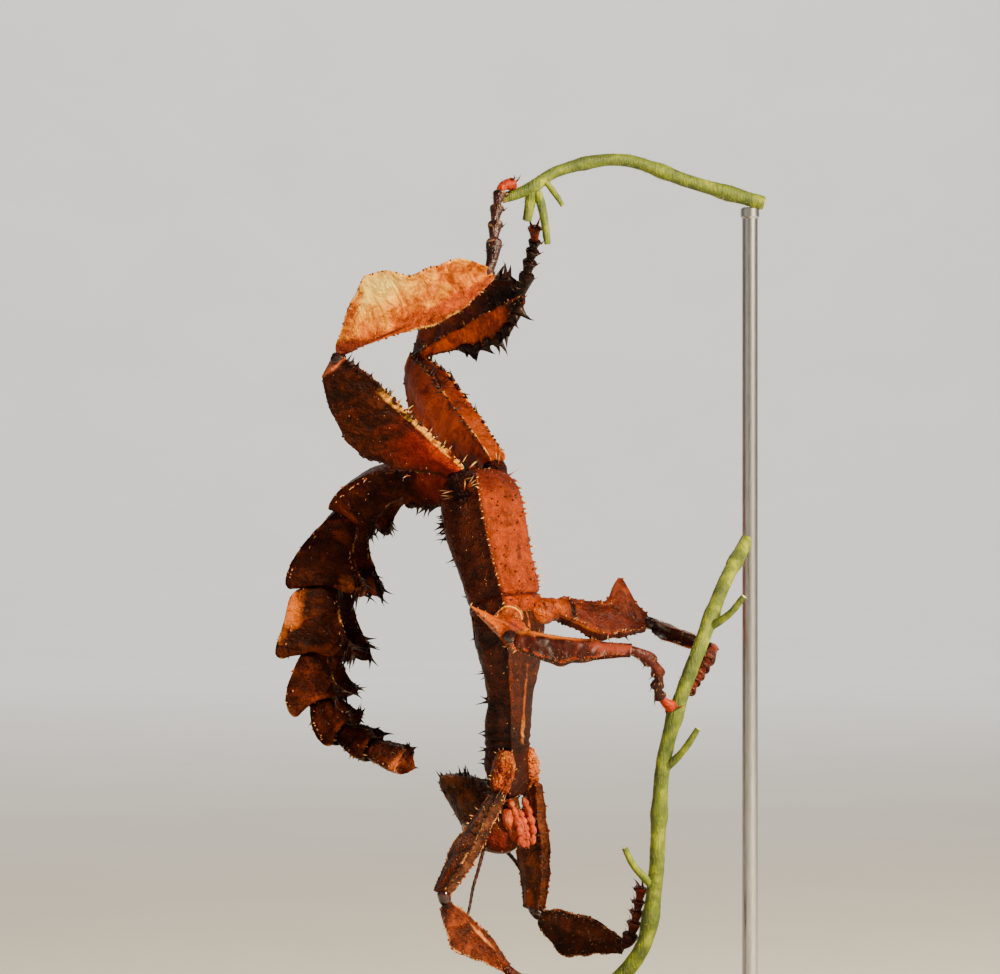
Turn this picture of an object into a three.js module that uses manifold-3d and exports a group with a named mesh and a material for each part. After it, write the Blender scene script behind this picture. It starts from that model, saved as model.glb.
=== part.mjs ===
// A spiny stick insect with leaf-like legs, head down between two cut twigs on a display stand.
// Millimetres, +Z up. The origin is under the middle of the base, on its flat underside.
// The insect's head points down, its back faces -X and a little +Y, and its tail curls over its back.

import * as THREE from 'three';
import { mergeVertices } from 'three/addons/utils/BufferGeometryUtils.js';
import Module from 'manifold-3d';

const wasm = await Module();
wasm.setup();

// ---------- driving dimensions ----------

const GAP = 0.3; // between two pieces that meet
const BLADE = 0.6; // thickness of a keel, lobe or tooth at its edge
const BODY_TURN = 35; // degrees that the back is turned away from -X towards +Y

const BASE = { length: 104, width: 76, height: 8, corner: 7, bevel: 1 };
const ROD_RADIUS = 1.5;
const ROD_SIDES = 12;
const TALL_ROD = { x: 42, y: 2, top: 159.2 };
const SHORT_ROD = { x: 9.2, y: -5, top: 18.6 };

// Lines down the middle of the trunk and of the tail, as [towards the back, height].
const TRUNK_LINE = [
  [-0.4, 57.9], [-0.4, 65.5], [-0.4, 73.3], [0.1, 81], [1, 88.5], [3.9, 98.4], [6.2, 106.4], [7, 113.2],
];
const TAIL_LINE = [
  [7.2, 110.6], [12.5, 110.9], [18, 111], [23.4, 110.9], [28, 109.3], [32, 106], [35.2, 100.8], [37, 96],
  [38.4, 89.5], [39.6, 82.9], [40.2, 76.6], [39, 71.2], [35.8, 67.2], [30.5, 64.4], [25, 62.5], [19.4, 60.8],
];

// Trunk pieces from the neck to the hips. Each ring is [part of the length, half width, back, belly].
const TRUNK = [
  {
    name: 'prothorax',
    length: 7.4,
    rings: [[0, 2.2, 2.6, 2], [0.2, 2.7, 3.9, 2.3], [0.6, 2.9, 4.6, 2.5], [1, 2.5, 4, 2.4]],
    back_spines: [0.3, 0.75],
    spine: 1.4,
  },
  {
    name: 'mesothorax',
    length: 22.6,
    rings: [
      [0, 2.6, 4.2, 2.5], [0.16, 3, 4.6, 2.7], [0.34, 3.2, 3.5, 2.9], [0.55, 4.3, 3.9, 3.8],
      [0.75, 5.3, 4.8, 4.6], [0.92, 5.7, 5.2, 4.9], [1, 5.4, 5, 4.6],
    ],
    back_spines: [0.1, 0.34, 0.58],
    spine: 1.7,
  },
  {
    name: 'metathorax',
    length: 25.6,
    rings: [
      [0, 5.4, 4.8, 4.6], [0.12, 5.8, 5, 5], [0.34, 5.9, 5.4, 5.1], [0.6, 6.1, 6.3, 5.4],
      [0.8, 6.3, 6, 5.7], [0.93, 5.6, 5.2, 5.1], [1, 3.6, 3.4, 3.4],
    ],
    back_spines: [0.3, 0.54],
    belly_spines: [0.12, 0.24, 0.36, 0.48, 0.6],
    spine: 1.8,
  },
];
const TRUNK_KEEL = 0.5; // how far the lower side keels stand out

// Tail pieces from the hips to the tip. ridge is the height of the twin crests at the rear edge.
const TAIL = [
  { name: 'abdomen_2', length: 12.6, width: 4.9, back: 3.8, belly: 3.8, ridge: 1, lobe: 0.2, spines: 3 },
  { name: 'abdomen_3', length: 14.4, width: 5.2, back: 3.7, belly: 4, ridge: 3, lobe: 1, spines: 4 },
  { name: 'abdomen_4', length: 13.6, width: 5.4, back: 3.2, belly: 4.1, ridge: 6, lobe: 4.2, spines: 5 },
  {
    name: 'abdomen_5', length: 12.1, width: 5.6, back: 3.3, belly: 4, ridge: 5.4, lobe: 4, spines: 4, early: 0.75,
  },
  { name: 'abdomen_6', length: 9.2, width: 5.4, back: 3.3, belly: 3.7, ridge: 2.8, lobe: 3, spines: 3 },
  { name: 'abdomen_7', length: 7.4, width: 4.4, back: 3.2, belly: 3, ridge: 1.2, lobe: 1.8, spines: 2 },
  { name: 'abdomen_8', length: 6.4, width: 3.6, back: 2.9, belly: 2.6, ridge: 0.8, lobe: 0.9, spines: 2 },
  { name: 'abdomen_tip', length: 7.4, width: 3, back: 2.5, belly: 2.2, ridge: 0.5, lobe: 0.4, spines: 1 },
];
const TAIL_END = { width: 0.9, back: 1, belly: 0.9 }; // what the tip narrows towards
const TAIL_START = 0.4; // the first tail piece starts this far along TAIL_LINE
const RIDGE_SPREAD = 2.6; // each crest's distance from the middle of the back
const TAIL_SPINE = 2.3;

// The head by height: [height, back edge, belly edge, half width], edges measured towards the back.
const HEAD_RINGS = [
  [46.9, 2.8, 0.2, 1.4], [47.7, 4.8, -1.4, 2.9], [49.6, 7, -2.3, 3.9], [52.2, 9.4, -2.6, 4.2],
  [55, 11.7, -2.5, 3.9], [57.5, 13.1, -2.3, 3.2], [57.8, 13.2, 3.4, 3.1], [59, 13.4, 4.6, 2.3],
  [59.9, 12.6, 6.4, 1.3],
];
// Crown spines as [height, towards the back, to the side, length, lean to the back].
const CROWN_SPINES = [
  [59.3, 12.7, 0.7, 2, 1], [59.3, 12.7, -0.7, 2, 1], [59.6, 10.4, 0.9, 2, 0.2], [59.6, 10.4, -0.9, 2, 0.2],
  [57.4, 12.7, 0, 1.8, 1.8], [55, 11.3, 0.5, 1.6, 1.9], [52.6, 9.4, -0.5, 1.2, 1.9], [59.4, 8.4, 0, 1.6, 0],
];
const EYE = { radius: 1.15, side: 3.9, back: 5.4, height: 51.4 };
const ANTENNA_ROOT = { side: 2.4, back: 3.3, height: 48.4 };
const ANTENNA_RADIUS = [0.55, 0.3];
const LEFT_ANTENNA = [
  [-4.1, -4.4, 47.6], [-4.9, -6.4, 44.6], [-5.8, -8, 41.6], [-6.3, -9.2, 38.8], [-6.9, -10, 36.4],
];
const RIGHT_ANTENNA = [
  [-0.4, 5, 47.2], [1.4, 6.6, 45], [2.9, 8.2, 42.4], [4, 9.8, 39.6], [4.6, 11, 37],
];
const PALPS = [
  { root: [-2.2, 53.4], side: 0.9, reach: [1.4, -5.4], radius: 0.95 },
  { root: [-2.2, 55.6], side: 2.3, reach: [1.7, -6.2], radius: 1.05 },
];
const LABRUM = { back: -1.9, height: 50.6, half: [2.1, 1.7, 2.6] };

// Edge outlines of a limb: [part of the length, height over the limb's middle line].
const HIND_FEMUR = {
  outer: [
    [0, 1.7], [0.1, 2.8], [0.28, 6], [0.48, 8.2], [0.58, 8.6], [0.7, 7.3], [0.88, 5], [0.95, 3.6], [1, 2.2],
  ],
  inner: [[0, 1.5], [0.1, 1.9], [0.4, 2.4], [0.8, 2.8], [0.9, 2.4], [1, 1.5]],
  side: 2.3,
  teeth: 7,
  tooth: 0.8,
};
const HIND_TIBIA = {
  outer: [
    [0, 1.3], [0.05, 1.8], [0.12, 5.4], [0.2, 8], [0.33, 10.2], [0.42, 9.6], [0.56, 6.6], [0.66, 6.3],
    [0.86, 5.4], [0.94, 3.2], [1, 1.3],
  ],
  inner: [[0, 1.2], [0.14, 1], [0.35, 2.2], [0.62, 4.4], [0.8, 3.6], [0.92, 1.8], [1, 1.2]],
  side: 1.3,
  teeth: 7,
  tooth: 0.8,
};
const MID_FEMUR = {
  outer: [[0, 1.4], [0.12, 2.6], [0.3, 2.2], [0.55, 2.6], [0.74, 7.6], [0.84, 4.4], [0.93, 2.2], [1, 1.7]],
  inner: [[0, 1.3], [0.2, 2.2], [0.5, 3.9], [0.75, 2.8], [1, 1.3]],
  side: 1.7,
  teeth: 4,
  tooth: 0.6,
};
const MID_TIBIA = {
  outer: [[0, 1.2], [0.12, 1.4], [0.3, 1.2], [0.6, 1.2], [0.85, 1.1], [1, 1]],
  inner: [[0, 1.3], [0.15, 2.5], [0.4, 3.7], [0.6, 2.7], [0.8, 1.7], [1, 1.1]],
  side: 1.25,
  teeth: 4,
  tooth: 0.5,
};
const FORE_FEMUR = {
  outer: [[0, 1.2], [0.2, 1.5], [0.4, 2], [0.55, 3], [0.7, 2.4], [0.9, 1.8], [1, 1.4]],
  inner: [[0, 1.2], [0.25, 1.4], [0.5, 2.1], [0.75, 2], [1, 1.3]],
  side: 1.35,
  teeth: 4,
  tooth: 0.5,
};
const FORE_TIBIA = {
  outer: [[0, 1.1], [0.12, 2.6], [0.36, 5], [0.55, 3.8], [0.75, 2.2], [1, 1]],
  inner: [[0, 1.1], [0.3, 1.8], [0.6, 2.2], [0.85, 1.5], [1, 1]],
  side: 1.1,
  teeth: 4,
  tooth: 0.5,
};

// Joint places. root is where the coxa leaves the trunk, then hip, knee and ankle; toe holds the tarsus.
const LEGS = {
  hind_left: {
    root: [-6.6, -0.2, 107.6], hip: [-8.4, -2.6, 112.6], knee: [-30, -18.5, 131.7], ankle: [-3.1, -13, 145.8],
    toe: [[-2.6, -12.4, 148.4], [-2.2, -10, 152.9], [-1.8, -7.6, 157.6], [-0.9, -5.6, 161.3], [1, -4.4, 162]],
    coxa: 2.7, femur: HIND_FEMUR, tibia: HIND_TIBIA, roll: 0, tibiaRoll: 0, flexor: 0.8, tarsus: 1,
  },
  hind_right: {
    root: [-1.4, 6.6, 107.8], hip: [-2.2, 7.8, 113.4], knee: [-17.6, 25.5, 132.4], ankle: [2.4, 5, 143],
    toe: [[3, 4, 145.2], [3.9, 2, 148.9], [4.7, -0.4, 152.2], [4.7, -1.8, 154.7]],
    coxa: 2.7, femur: HIND_FEMUR, tibia: HIND_TIBIA, roll: 0, tibiaRoll: 0, flexor: 1.2, tarsus: 1,
  },
  mid_left: {
    root: [0.6, -3.6, 87.8], hip: [0.3, -7.4, 87.3], knee: [-0.4, -26.5, 85], ankle: [20, -26, 83],
    toe: [
      [21.6, -25.6, 82.4], [24, -24.2, 81], [25.4, -22.4, 78.6], [25.3, -20.6, 76], [26.4, -19, 74], [27.8, -18, 72.9],
    ],
    coxa: 2.5, femur: MID_FEMUR, tibia: MID_TIBIA, roll: -30, tibiaRoll: 250, flexor: 1, tarsus: 0.75,
  },
  mid_right: {
    root: [4.6, 1.6, 88.2], hip: [8.2, 3.4, 88.9], knee: [25.6, 12, 86.2], ankle: [35.3, -4, 82.4],
    toe: [[35, -5.4, 81.6], [33.9, -8.4, 79.8], [32.4, -11.6, 77.6], [30.9, -14.6, 75.4]],
    coxa: 2.5, femur: MID_FEMUR, tibia: MID_TIBIA, roll: 60, tibiaRoll: 0, flexor: 1, tarsus: 0.75,
  },
  fore_left: {
    root: [-0.2, -3, 64.2], hip: [-1.2, -4.8, 58.4], knee: [-11.7, -17, 40.8], ankle: [-0.4, -9.6, 28.4],
    toe: [[0.8, -9, 27], [3, -8, 24.4], [5.4, -6.9, 21.8], [7.2, -6.2, 20.4]],
    coxa: 2.2, femur: FORE_FEMUR, tibia: FORE_TIBIA, roll: 70, tibiaRoll: 0, flexor: 1, tarsus: 0.75,
  },
  fore_right: {
    root: [3.6, 1.4, 64.6], hip: [4.1, 2.2, 59], knee: [4.2, 4, 35.9], ankle: [19.3, -6, 31.2],
    toe: [[20.6, -7.6, 32.4], [21.6, -8.6, 35], [22.3, -9.4, 38.4], [22.9, -10.2, 41.8]],
    coxa: 1.8, femur: FORE_FEMUR, tibia: FORE_TIBIA, roll: 0, tibiaRoll: 0, flexor: 1.5, tarsus: 0.75,
  },
};
const CLAW = { length: 1.9, radius: 0.36, spread: 24, apart: 0.25 };
const HIP_SINK = 0.4; // the femur starts this far past the hip's middle
const FEMUR_STOP = 0.2; // the femur stops this far before the knee's middle
const TIBIA_START = 0.9; // the tibia starts this far past it

// Pads at the rear of the mesothorax, from start as a part of its length. lift is their height.
const WING_PAD = { start: 0.74, length: 7.4, width: 2.9, lift: 4.5, side: 2.2 };
const PAD_EDGES = { crown: 0.8, rim: 0.3, under: 1.6 }; // heights over and under the lift

const TOP_TWIG = {
  line: [
    [-1, -4, 159.4], [3.9, -3.6, 161.2], [9.4, -1.6, 164.6], [20, 0.6, 166.4], [32, 1.6, 162.6],
    [44.5, 2.2, 159],
  ],
  radius: [1.1, 1.5],
  twiglets: [
    { line: [[4.2, -3.5, 161], [3.9, -3.2, 158.4], [3.4, -3.2, 155.6]], radius: [1.25, 1] },
    { line: [[5.2, -3.4, 160.6], [6.2, -3.6, 157], [7, -3.8, 151.6]], radius: [0.8, 0.55] },
    { line: [[6.6, -3, 162.4], [8.6, -3.4, 159.8], [9.6, -3.6, 158.2]], radius: [0.7, 0.5] },
  ],
};
const SIDE_TWIG = {
  line: [
    [3, -4.4, 15.6], [9.2, -5, 18.6], [17.4, -8, 24.6], [23.2, -10, 32], [25.2, -12, 43.3], [25.7, -14, 53.6],
    [26.5, -15.4, 63.8], [29.2, -16.2, 74], [33, -15, 84], [37, -9, 93.5], [41.6, 2, 101],
  ],
  radius: [1.7, 1.4],
  twiglets: [
    { line: [[26.4, -15.2, 62], [29.6, -17.4, 65.4], [32.2, -18.6, 69.4]], radius: [0.8, 0.55] },
    { line: [[25, -12, 42], [21.6, -13.6, 45.6], [19.8, -14.6, 49]], radius: [0.75, 0.5] },
    { line: [[34, -14, 86], [37.6, -16, 88.6], [40, -17, 91.6]], radius: [0.7, 0.5] },
  ],
};

// ---------- materials ----------

const paint = (name, color, roughness, metalness = 0) => {
  return new THREE.MeshStandardMaterial({ name, color, roughness, metalness });
};
const shell = paint('shell', 0x9a4a24, 0.62);
const lobes = paint('lobes', 0xb8683a, 0.6);
const dark = paint('dark', 0x5a2a1a, 0.4);
const mouth = paint('mouth', 0xc4583a, 0.5);
const eye = paint('eye', 0xc8b48c, 0.25);
const bark = paint('bark', 0x8f9a5c, 0.7);
const wood = paint('wood', 0x4a2f1e, 0.45);
const steel = paint('steel', 0xb4b6b8, 0.35, 1);

// ---------- small tools ----------

const vec = (p) => new THREE.Vector3(...p);
const turn = THREE.MathUtils.degToRad(BODY_TURN);
const BACK = new THREE.Vector3(-Math.cos(turn), Math.sin(turn), 0);
const LEFT = new THREE.Vector3(-Math.sin(turn), -Math.cos(turn), 0);
const UP = new THREE.Vector3(0, 0, 1);

/** A point of the body's middle plane, moved to the left by side. */
const inBody = (back, height, side = 0) => {
  return new THREE.Vector3(0, 0, height).addScaledVector(BACK, back).addScaledVector(LEFT, side);
};

/** Smooth height of an outline of [part, height] pairs. */
function outlineAt(outline, part) {
  const last = outline.length - 1;
  let i = 0;
  while (i < last - 1 && part > outline[i + 1][0]) i += 1;
  const [a, ha] = outline[i];
  const [b, hb] = outline[i + 1];
  return ha + (hb - ha) * THREE.MathUtils.smoothstep(part, a, b);
}

/** A closed skin over rings of equal length, given in order, with flat or pointed ends. */
function loft(rings) {
  const sides = rings[0].length;
  const positions = rings.flat().flatMap((p) => p.toArray());
  const index = [];
  for (let r = 0; r < rings.length - 1; r += 1) {
    for (let s = 0; s < sides; s += 1) {
      const next = (s + 1) % sides;
      const [a, b] = [r * sides + s, r * sides + next];
      const [c, d] = [a + sides, b + sides];
      index.push(a, b, d, a, d, c);
    }
  }
  for (const [ring, forward] of [[0, false], [rings.length - 1, true]]) {
    const middle = rings[ring].reduce((sum, p) => sum.add(p), new THREE.Vector3()).divideScalar(sides);
    const centre = positions.length / 3;
    positions.push(...middle.toArray());
    for (let s = 0; s < sides; s += 1) {
      const a = ring * sides + s;
      const b = ring * sides + ((s + 1) % sides);
      index.push(...(forward ? [a, b, centre] : [b, a, centre]));
    }
  }
  const geometry = new THREE.BufferGeometry();
  geometry.setAttribute('position', new THREE.Float32BufferAttribute(positions, 3));
  geometry.setIndex(index);
  return outwards(geometry);
}

/** Turns the faces round if they point inwards. */
function outwards(geometry) {
  const { array } = geometry.getAttribute('position');
  const index = geometry.getIndex().array;
  let volume = 0;
  for (let i = 0; i < index.length; i += 3) {
    const [a, b, c] = [0, 1, 2].map((k) => new THREE.Vector3().fromArray(array, index[i + k] * 3));
    volume += a.dot(b.cross(c));
  }
  if (volume < 0) {
    geometry.setIndex(Array.from(index).reverse());
  }
  return geometry;
}

/** A three.js geometry as a solid that can be joined and cut. */
function solid(geometry) {
  const plain = geometry.clone();
  plain.deleteAttribute('normal');
  plain.deleteAttribute('uv');
  const merged = mergeVertices(plain, 1e-4);
  return new wasm.Manifold(new wasm.Mesh({
    numProp: 3,
    vertProperties: new Float32Array(merged.getAttribute('position').array),
    triVerts: new Uint32Array(merged.getIndex().array),
  }));
}

/** The solid's geometry, ready to show. */
function skinOf(body) {
  const mesh = body.getMesh();
  const geometry = new THREE.BufferGeometry();
  geometry.setAttribute('position', new THREE.Float32BufferAttribute(mesh.vertProperties, 3));
  geometry.setIndex(new THREE.Uint32BufferAttribute(mesh.triVerts, 1));
  geometry.computeVertexNormals();
  return geometry;
}

const less = (first, ...others) => others.reduce((body, other) => body.subtract(other), first);

/** A round tube through points, its radius running from the first to the second value. */
function tube(points, [startRadius, endRadius], { sides = 8, steps = 12, grow = 0, swell = () => 1 } = {}) {
  const curve = new THREE.CatmullRomCurve3(points.map(vec));
  const frames = curve.computeFrenetFrames(steps, false);
  const rings = [];
  for (let i = 0; i <= steps; i += 1) {
    const part = i / steps;
    const radius = THREE.MathUtils.lerp(startRadius, endRadius, part) * swell(part) + grow;
    const middle = curve.getPointAt(part);
    if (i === 0) middle.addScaledVector(frames.tangents[0], -grow);
    if (i === steps) middle.addScaledVector(frames.tangents[steps], grow);
    rings.push(Array.from({ length: sides }, (_, s) => {
      const angle = (s / sides) * Math.PI * 2;
      return middle.clone()
        .addScaledVector(frames.normals[i], Math.cos(angle) * radius)
        .addScaledVector(frames.binormals[i], Math.sin(angle) * radius);
    }));
  }
  return solid(loft(rings));
}

/** A spine with its foot sunk a little into what carries it. */
function spineAt(foot, direction, length, radius = length * 0.2) {
  const sink = 0.5;
  const upright = new THREE.Vector3(0, 1, 0);
  const tilt = new THREE.Quaternion().setFromUnitVectors(upright, direction.clone().normalize());
  const cone = new THREE.ConeGeometry(radius, length + sink, 3);
  cone.translate(0, (length + sink) / 2 - sink, 0);
  cone.applyQuaternion(tilt);
  cone.translate(foot.x, foot.y, foot.z);
  return solid(cone);
}

// ---------- trunk ----------

const lineInBody = (line) => new THREE.CatmullRomCurve3(line.map(([back, height]) => inBody(back, height)));
const trunkCurve = lineInBody(TRUNK_LINE);
const tailCurve = lineInBody(TAIL_LINE);

/** Middle point and dorsal direction at a distance along one of the two body lines. */
function bodyFrame(curve, distance) {
  const part = THREE.MathUtils.clamp(distance / curve.getLength(), 0, 1);
  const tangent = curve.getTangentAt(part);
  return { middle: curve.getPointAt(part), tangent, back: LEFT.clone().cross(tangent).normalize() };
}

const atFrame = (frame, side, back) => {
  return frame.middle.clone().addScaledVector(LEFT, side).addScaledVector(frame.back, back);
};

/** Both halves of a ring from the right half's [side, back] points, top first, bottom last. */
function mirrored(half) {
  const other = half.slice(1, -1).reverse().map(([side, back]) => [-side, back]);
  return [...half, ...other];
}

function trunkRing(frame, width, back, belly, grow) {
  const [w, b, v] = [width + grow, back + grow, belly + grow];
  const half = [
    [0, b], [0.5 * w, 0.93 * b], [0.88 * w, 0.58 * b], [w, 0],
    [0.94 * w, -0.55 * v], [0.9 * w + TRUNK_KEEL, -0.95 * v], [0.6 * w, -v], [0, -1.04 * v],
  ];
  return mirrored(half).map(([side, height]) => atFrame(frame, side, height));
}

function trunkPiece(spec, start, grow = 0) {
  const room = GAP / 2 - grow;
  const rings = spec.rings.map(([part, width, back, belly]) => {
    const distance = start + room + part * (spec.length - 2 * room);
    return trunkRing(bodyFrame(trunkCurve, distance), width, back, belly, grow);
  });
  let body = solid(loft(rings));
  if (grow > 0) return body;
  const sizeAt = (part, column) => outlineAt(spec.rings.map((ring) => [ring[0], ring[column]]), part);
  for (const part of spec.back_spines) {
    const frame = bodyFrame(trunkCurve, start + part * spec.length);
    for (const side of [-1, 1]) {
      const foot = atFrame(frame, side * 0.5 * sizeAt(part, 1), 0.9 * sizeAt(part, 2));
      const lean = frame.back.clone().addScaledVector(LEFT, side * 0.5);
      body = body.add(spineAt(foot, lean, spec.spine));
    }
  }
  for (const part of spec.belly_spines ?? []) {
    const frame = bodyFrame(trunkCurve, start + part * spec.length);
    for (const side of [-1, 1]) {
      const foot = atFrame(frame, side * (0.9 * sizeAt(part, 1) + TRUNK_KEEL * 0.6), -0.93 * sizeAt(part, 3));
      const lean = frame.back.clone().multiplyScalar(-0.35).addScaledVector(LEFT, side);
      body = body.add(spineAt(foot, lean, spec.spine * 0.8));
    }
  }
  return body;
}

// ---------- tail ----------

function tailRing(frame, { width, back, belly }, ridge, lobe) {
  const edge = width + lobe;
  const drop = -0.42 * belly - 0.3 * lobe;
  const half = [
    [0, back - 0.3], [RIDGE_SPREAD * 0.55, back + ridge * 0.55], [RIDGE_SPREAD, back + ridge],
    [0.78 * width, 0.4 * back], [edge, drop + BLADE / 2], [edge, drop - BLADE / 2],
    [0.74 * width, -0.74 * belly], [0, -belly],
  ];
  return mirrored(half).map(([side, height]) => atFrame(frame, side, height));
}

// Along a tail piece: [part of its length, size, ridge, lobe], the last three as shares of their full values.
const TAIL_PLAN = [
  [0, 0.86, 0, 0], [0.45, 1, 0.3, 0.35], [0.86, 1, 1, 0.94], [0.94, 0.9, 0.4, 0.86], [1, 0.84, 0, 0],
];
const CREST = 0.86; // where along a tail piece its crest stands

function tailPiece(spec, next, start) {
  const sizesAt = (part, size) => {
    const mix = (key) => THREE.MathUtils.lerp(spec[key], next[key], part * 0.5) * size;
    return { width: mix('width'), back: mix('back'), belly: mix('belly') };
  };
  const plan = [...TAIL_PLAN];
  if (spec.early) {
    // this piece's lobes are broad from near its front end
    plan.splice(1, 1, [0.14, 0.9, 0.08, spec.early], [0.45, 1, 0.3, spec.early]);
  }
  const rings = plan.map(([part, size, ridge, lobe]) => {
    const frame = bodyFrame(tailCurve, start + GAP / 2 + part * (spec.length - GAP));
    return tailRing(frame, sizesAt(part, size), spec.ridge * ridge, spec.lobe * lobe);
  });
  let body = solid(loft(rings));
  const crest = bodyFrame(tailCurve, start + CREST * spec.length);
  const { back } = sizesAt(CREST, 1);
  const crown = [[0, back - 0.3], [0.55, back + 0.55 * spec.ridge], [1, back + spec.ridge]];
  for (let i = 0; i < spec.spines; i += 1) {
    const share = spec.spines === 1 ? 0 : (i / (spec.spines - 1)) * 2 - 1;
    const strength = (0.6 + 0.4 * Math.abs(share)) * Math.min(1, 0.5 + spec.ridge * 0.2);
    const foot = atFrame(crest, share * RIDGE_SPREAD * 0.92, outlineAt(crown, Math.abs(share)) - 0.35);
    const lean = crest.back.clone().addScaledVector(crest.tangent, 0.55).addScaledVector(LEFT, share * 0.4);
    body = body.add(spineAt(foot, lean, TAIL_SPINE * strength));
  }
  return body;
}

// ---------- limbs ----------

/** The direction of the outer edge: away from the far end of the other limb piece, across this one. */
function outerSide(from, to, other, roll) {
  const along = to.clone().sub(from).normalize();
  const side = other.clone().sub(from);
  side.addScaledVector(along, -side.dot(along)).negate().normalize();
  return side.applyAxisAngle(along, THREE.MathUtils.degToRad(roll));
}

/** A limb piece of four keels with toothed edges, grown all round by grow. */
function limb(from, to, outer, shape, flexor, grow = 0) {
  const along = to.clone().sub(from).normalize();
  const side = along.clone().cross(outer);
  const length = from.distanceTo(to);
  const stations = [0, 0.04];
  for (let i = 0; i < shape.teeth; i += 1) {
    stations.push(0.08 + (0.84 * (i + 0.15)) / shape.teeth, 0.08 + (0.84 * (i + 0.75)) / shape.teeth);
  }
  stations.push(0.96, 1);
  const rings = stations.map((part, i) => {
    const peak = i > 1 && i < stations.length - 2 && i % 2 === 1 ? shape.tooth : 0;
    const top = outlineAt(shape.outer, part) + peak * 0.7 + grow;
    const low = outlineAt(shape.inner, part) * flexor + peak + grow;
    const full = Math.sin(Math.PI * (0.15 + 0.7 * part));
    const wide = shape.side * (0.6 + 0.4 * full) + grow + peak * 0.25;
    const tip = BLADE / 2 + grow;
    const half = [[top, tip], [0.14 * top, wide], [-0.4 * low, 0.75 * wide], [-low, tip]];
    const ring = [...half, ...half.slice().reverse().map(([height, across]) => [height, -across])];
    const end = i === 0 ? -grow : i === stations.length - 1 ? grow : 0;
    const middle = from.clone().addScaledVector(along, part * length + end);
    return ring.map(([height, across]) => {
      return middle.clone().addScaledVector(outer, height).addScaledVector(side, across);
    });
  });
  return solid(loft(rings));
}

/** Hip joint: an egg from the trunk to the femur. */
function coxa(root, hip, radius, grow = 0) {
  const beyond = hip.clone().sub(root).setLength(0.9);
  const points = [root, root.clone().lerp(hip, 0.5), hip.clone().add(beyond)].map((p) => p.toArray());
  const swell = (part) => 0.62 + 0.38 * Math.sin(Math.PI * (0.1 + 0.72 * part));
  return tube(points, [radius, radius * 0.8], { sides: 6, steps: 3, grow, swell });
}

/** Five joints of a foot, and two hooked claws at its end. */
function tarsus(points, radius) {
  const joints = 5;
  const swell = (part) => 0.84 + 0.3 * Math.abs(Math.sin(Math.PI * part * joints));
  let foot = tube(points, [radius, radius * 0.86], { sides: 4, steps: joints * 2, swell });
  const end = vec(points.at(-1));
  const along = end.clone().sub(vec(points.at(-2))).normalize();
  const across = along.clone().cross(Math.abs(along.z) < 0.9 ? UP : BACK).normalize();
  const hinge = across.clone().cross(along);
  for (const side of [-1, 1]) {
    const direction = along.clone().applyAxisAngle(hinge, THREE.MathUtils.degToRad(side * CLAW.spread));
    const base = end.clone().addScaledVector(across, side * CLAW.apart);
    foot = foot.add(spineAt(base, direction, CLAW.length, CLAW.radius));
  }
  return foot;
}

// ---------- twigs and stand ----------

function twig(spec, grow = 0) {
  const knots = (part) => 1 + 0.1 * Math.cos(part * 31);
  let body = tube(spec.line, spec.radius, { sides: 6, steps: 10, grow, swell: knots });
  for (const side of spec.twiglets) {
    body = body.add(tube(side.line, side.radius, { sides: 4, steps: 3, grow }));
  }
  return body;
}

function rod({ x, y, top }, grow = 0) {
  const height = top - BASE.height - GAP;
  const radius = ROD_RADIUS + grow;
  const cylinder = new THREE.CylinderGeometry(radius, radius, height, ROD_SIDES);
  cylinder.rotateX(Math.PI / 2);
  cylinder.translate(x, y, BASE.height + GAP + height / 2);
  return solid(cylinder);
}

function baseplate() {
  const { length, width, height, corner, bevel } = BASE;
  const [w, d] = [length / 2 - bevel, width / 2 - bevel];
  const shape = new THREE.Shape();
  shape.moveTo(-w + corner, -d);
  shape.lineTo(w - corner, -d);
  shape.absarc(w - corner, -d + corner, corner, -Math.PI / 2, 0);
  shape.absarc(w - corner, d - corner, corner, 0, Math.PI / 2);
  shape.absarc(-w + corner, d - corner, corner, Math.PI / 2, Math.PI);
  shape.absarc(-w + corner, -d + corner, corner, Math.PI, Math.PI * 1.5);
  const plate = new THREE.ExtrudeGeometry(shape, {
    depth: height - 2 * bevel, bevelSize: bevel, bevelThickness: bevel, bevelSegments: 1, curveSegments: 2,
  });
  plate.translate(0, 0, bevel);
  return solid(plate);
}

// ---------- assembly ----------

const insect = new THREE.Group();

function place(name, body, material) {
  const mesh = new THREE.Mesh(skinOf(body), material);
  mesh.name = name;
  insect.add(mesh);
}

const twigRoom = [twig(TOP_TWIG, GAP), twig(SIDE_TWIG, GAP)];

// trunk, with its grown copies kept to part the hips and the tail from it
const trunkRoom = [];
let trunkStart = 0;
for (const spec of TRUNK) {
  place(spec.name, trunkPiece(spec, trunkStart), shell);
  trunkRoom.push(trunkPiece(spec, trunkStart, GAP));
  trunkStart += spec.length;
}

// tail
let tailStart = TAIL_START;
TAIL.forEach((spec, i) => {
  const piece = tailPiece(spec, TAIL[i + 1] ?? TAIL_END, tailStart);
  place(spec.name, i === 0 ? less(piece, ...trunkRoom) : piece, shell);
  tailStart += spec.length;
});

// head
const HEAD_HALF = [
  [0, 1], [0.3, 0.86], [0.62, 0.4], [0.95, 0], [1, -0.4], [0.8, -0.8], [0.4, -0.97], [0, -1],
];

function headSolid(grow = 0) {
  const last = HEAD_RINGS.length - 1;
  const rings = HEAD_RINGS.map(([height, back, belly, width], i) => {
    const end = i === 0 ? -grow : i === last ? grow : 0;
    const middle = (back + belly) / 2;
    const reach = (back - belly) / 2 + grow;
    return mirrored(HEAD_HALF).map(([side, depth]) => {
      return inBody(middle + depth * reach, height + end, side * (width + grow));
    });
  });
  return solid(loft(rings));
}

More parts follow.
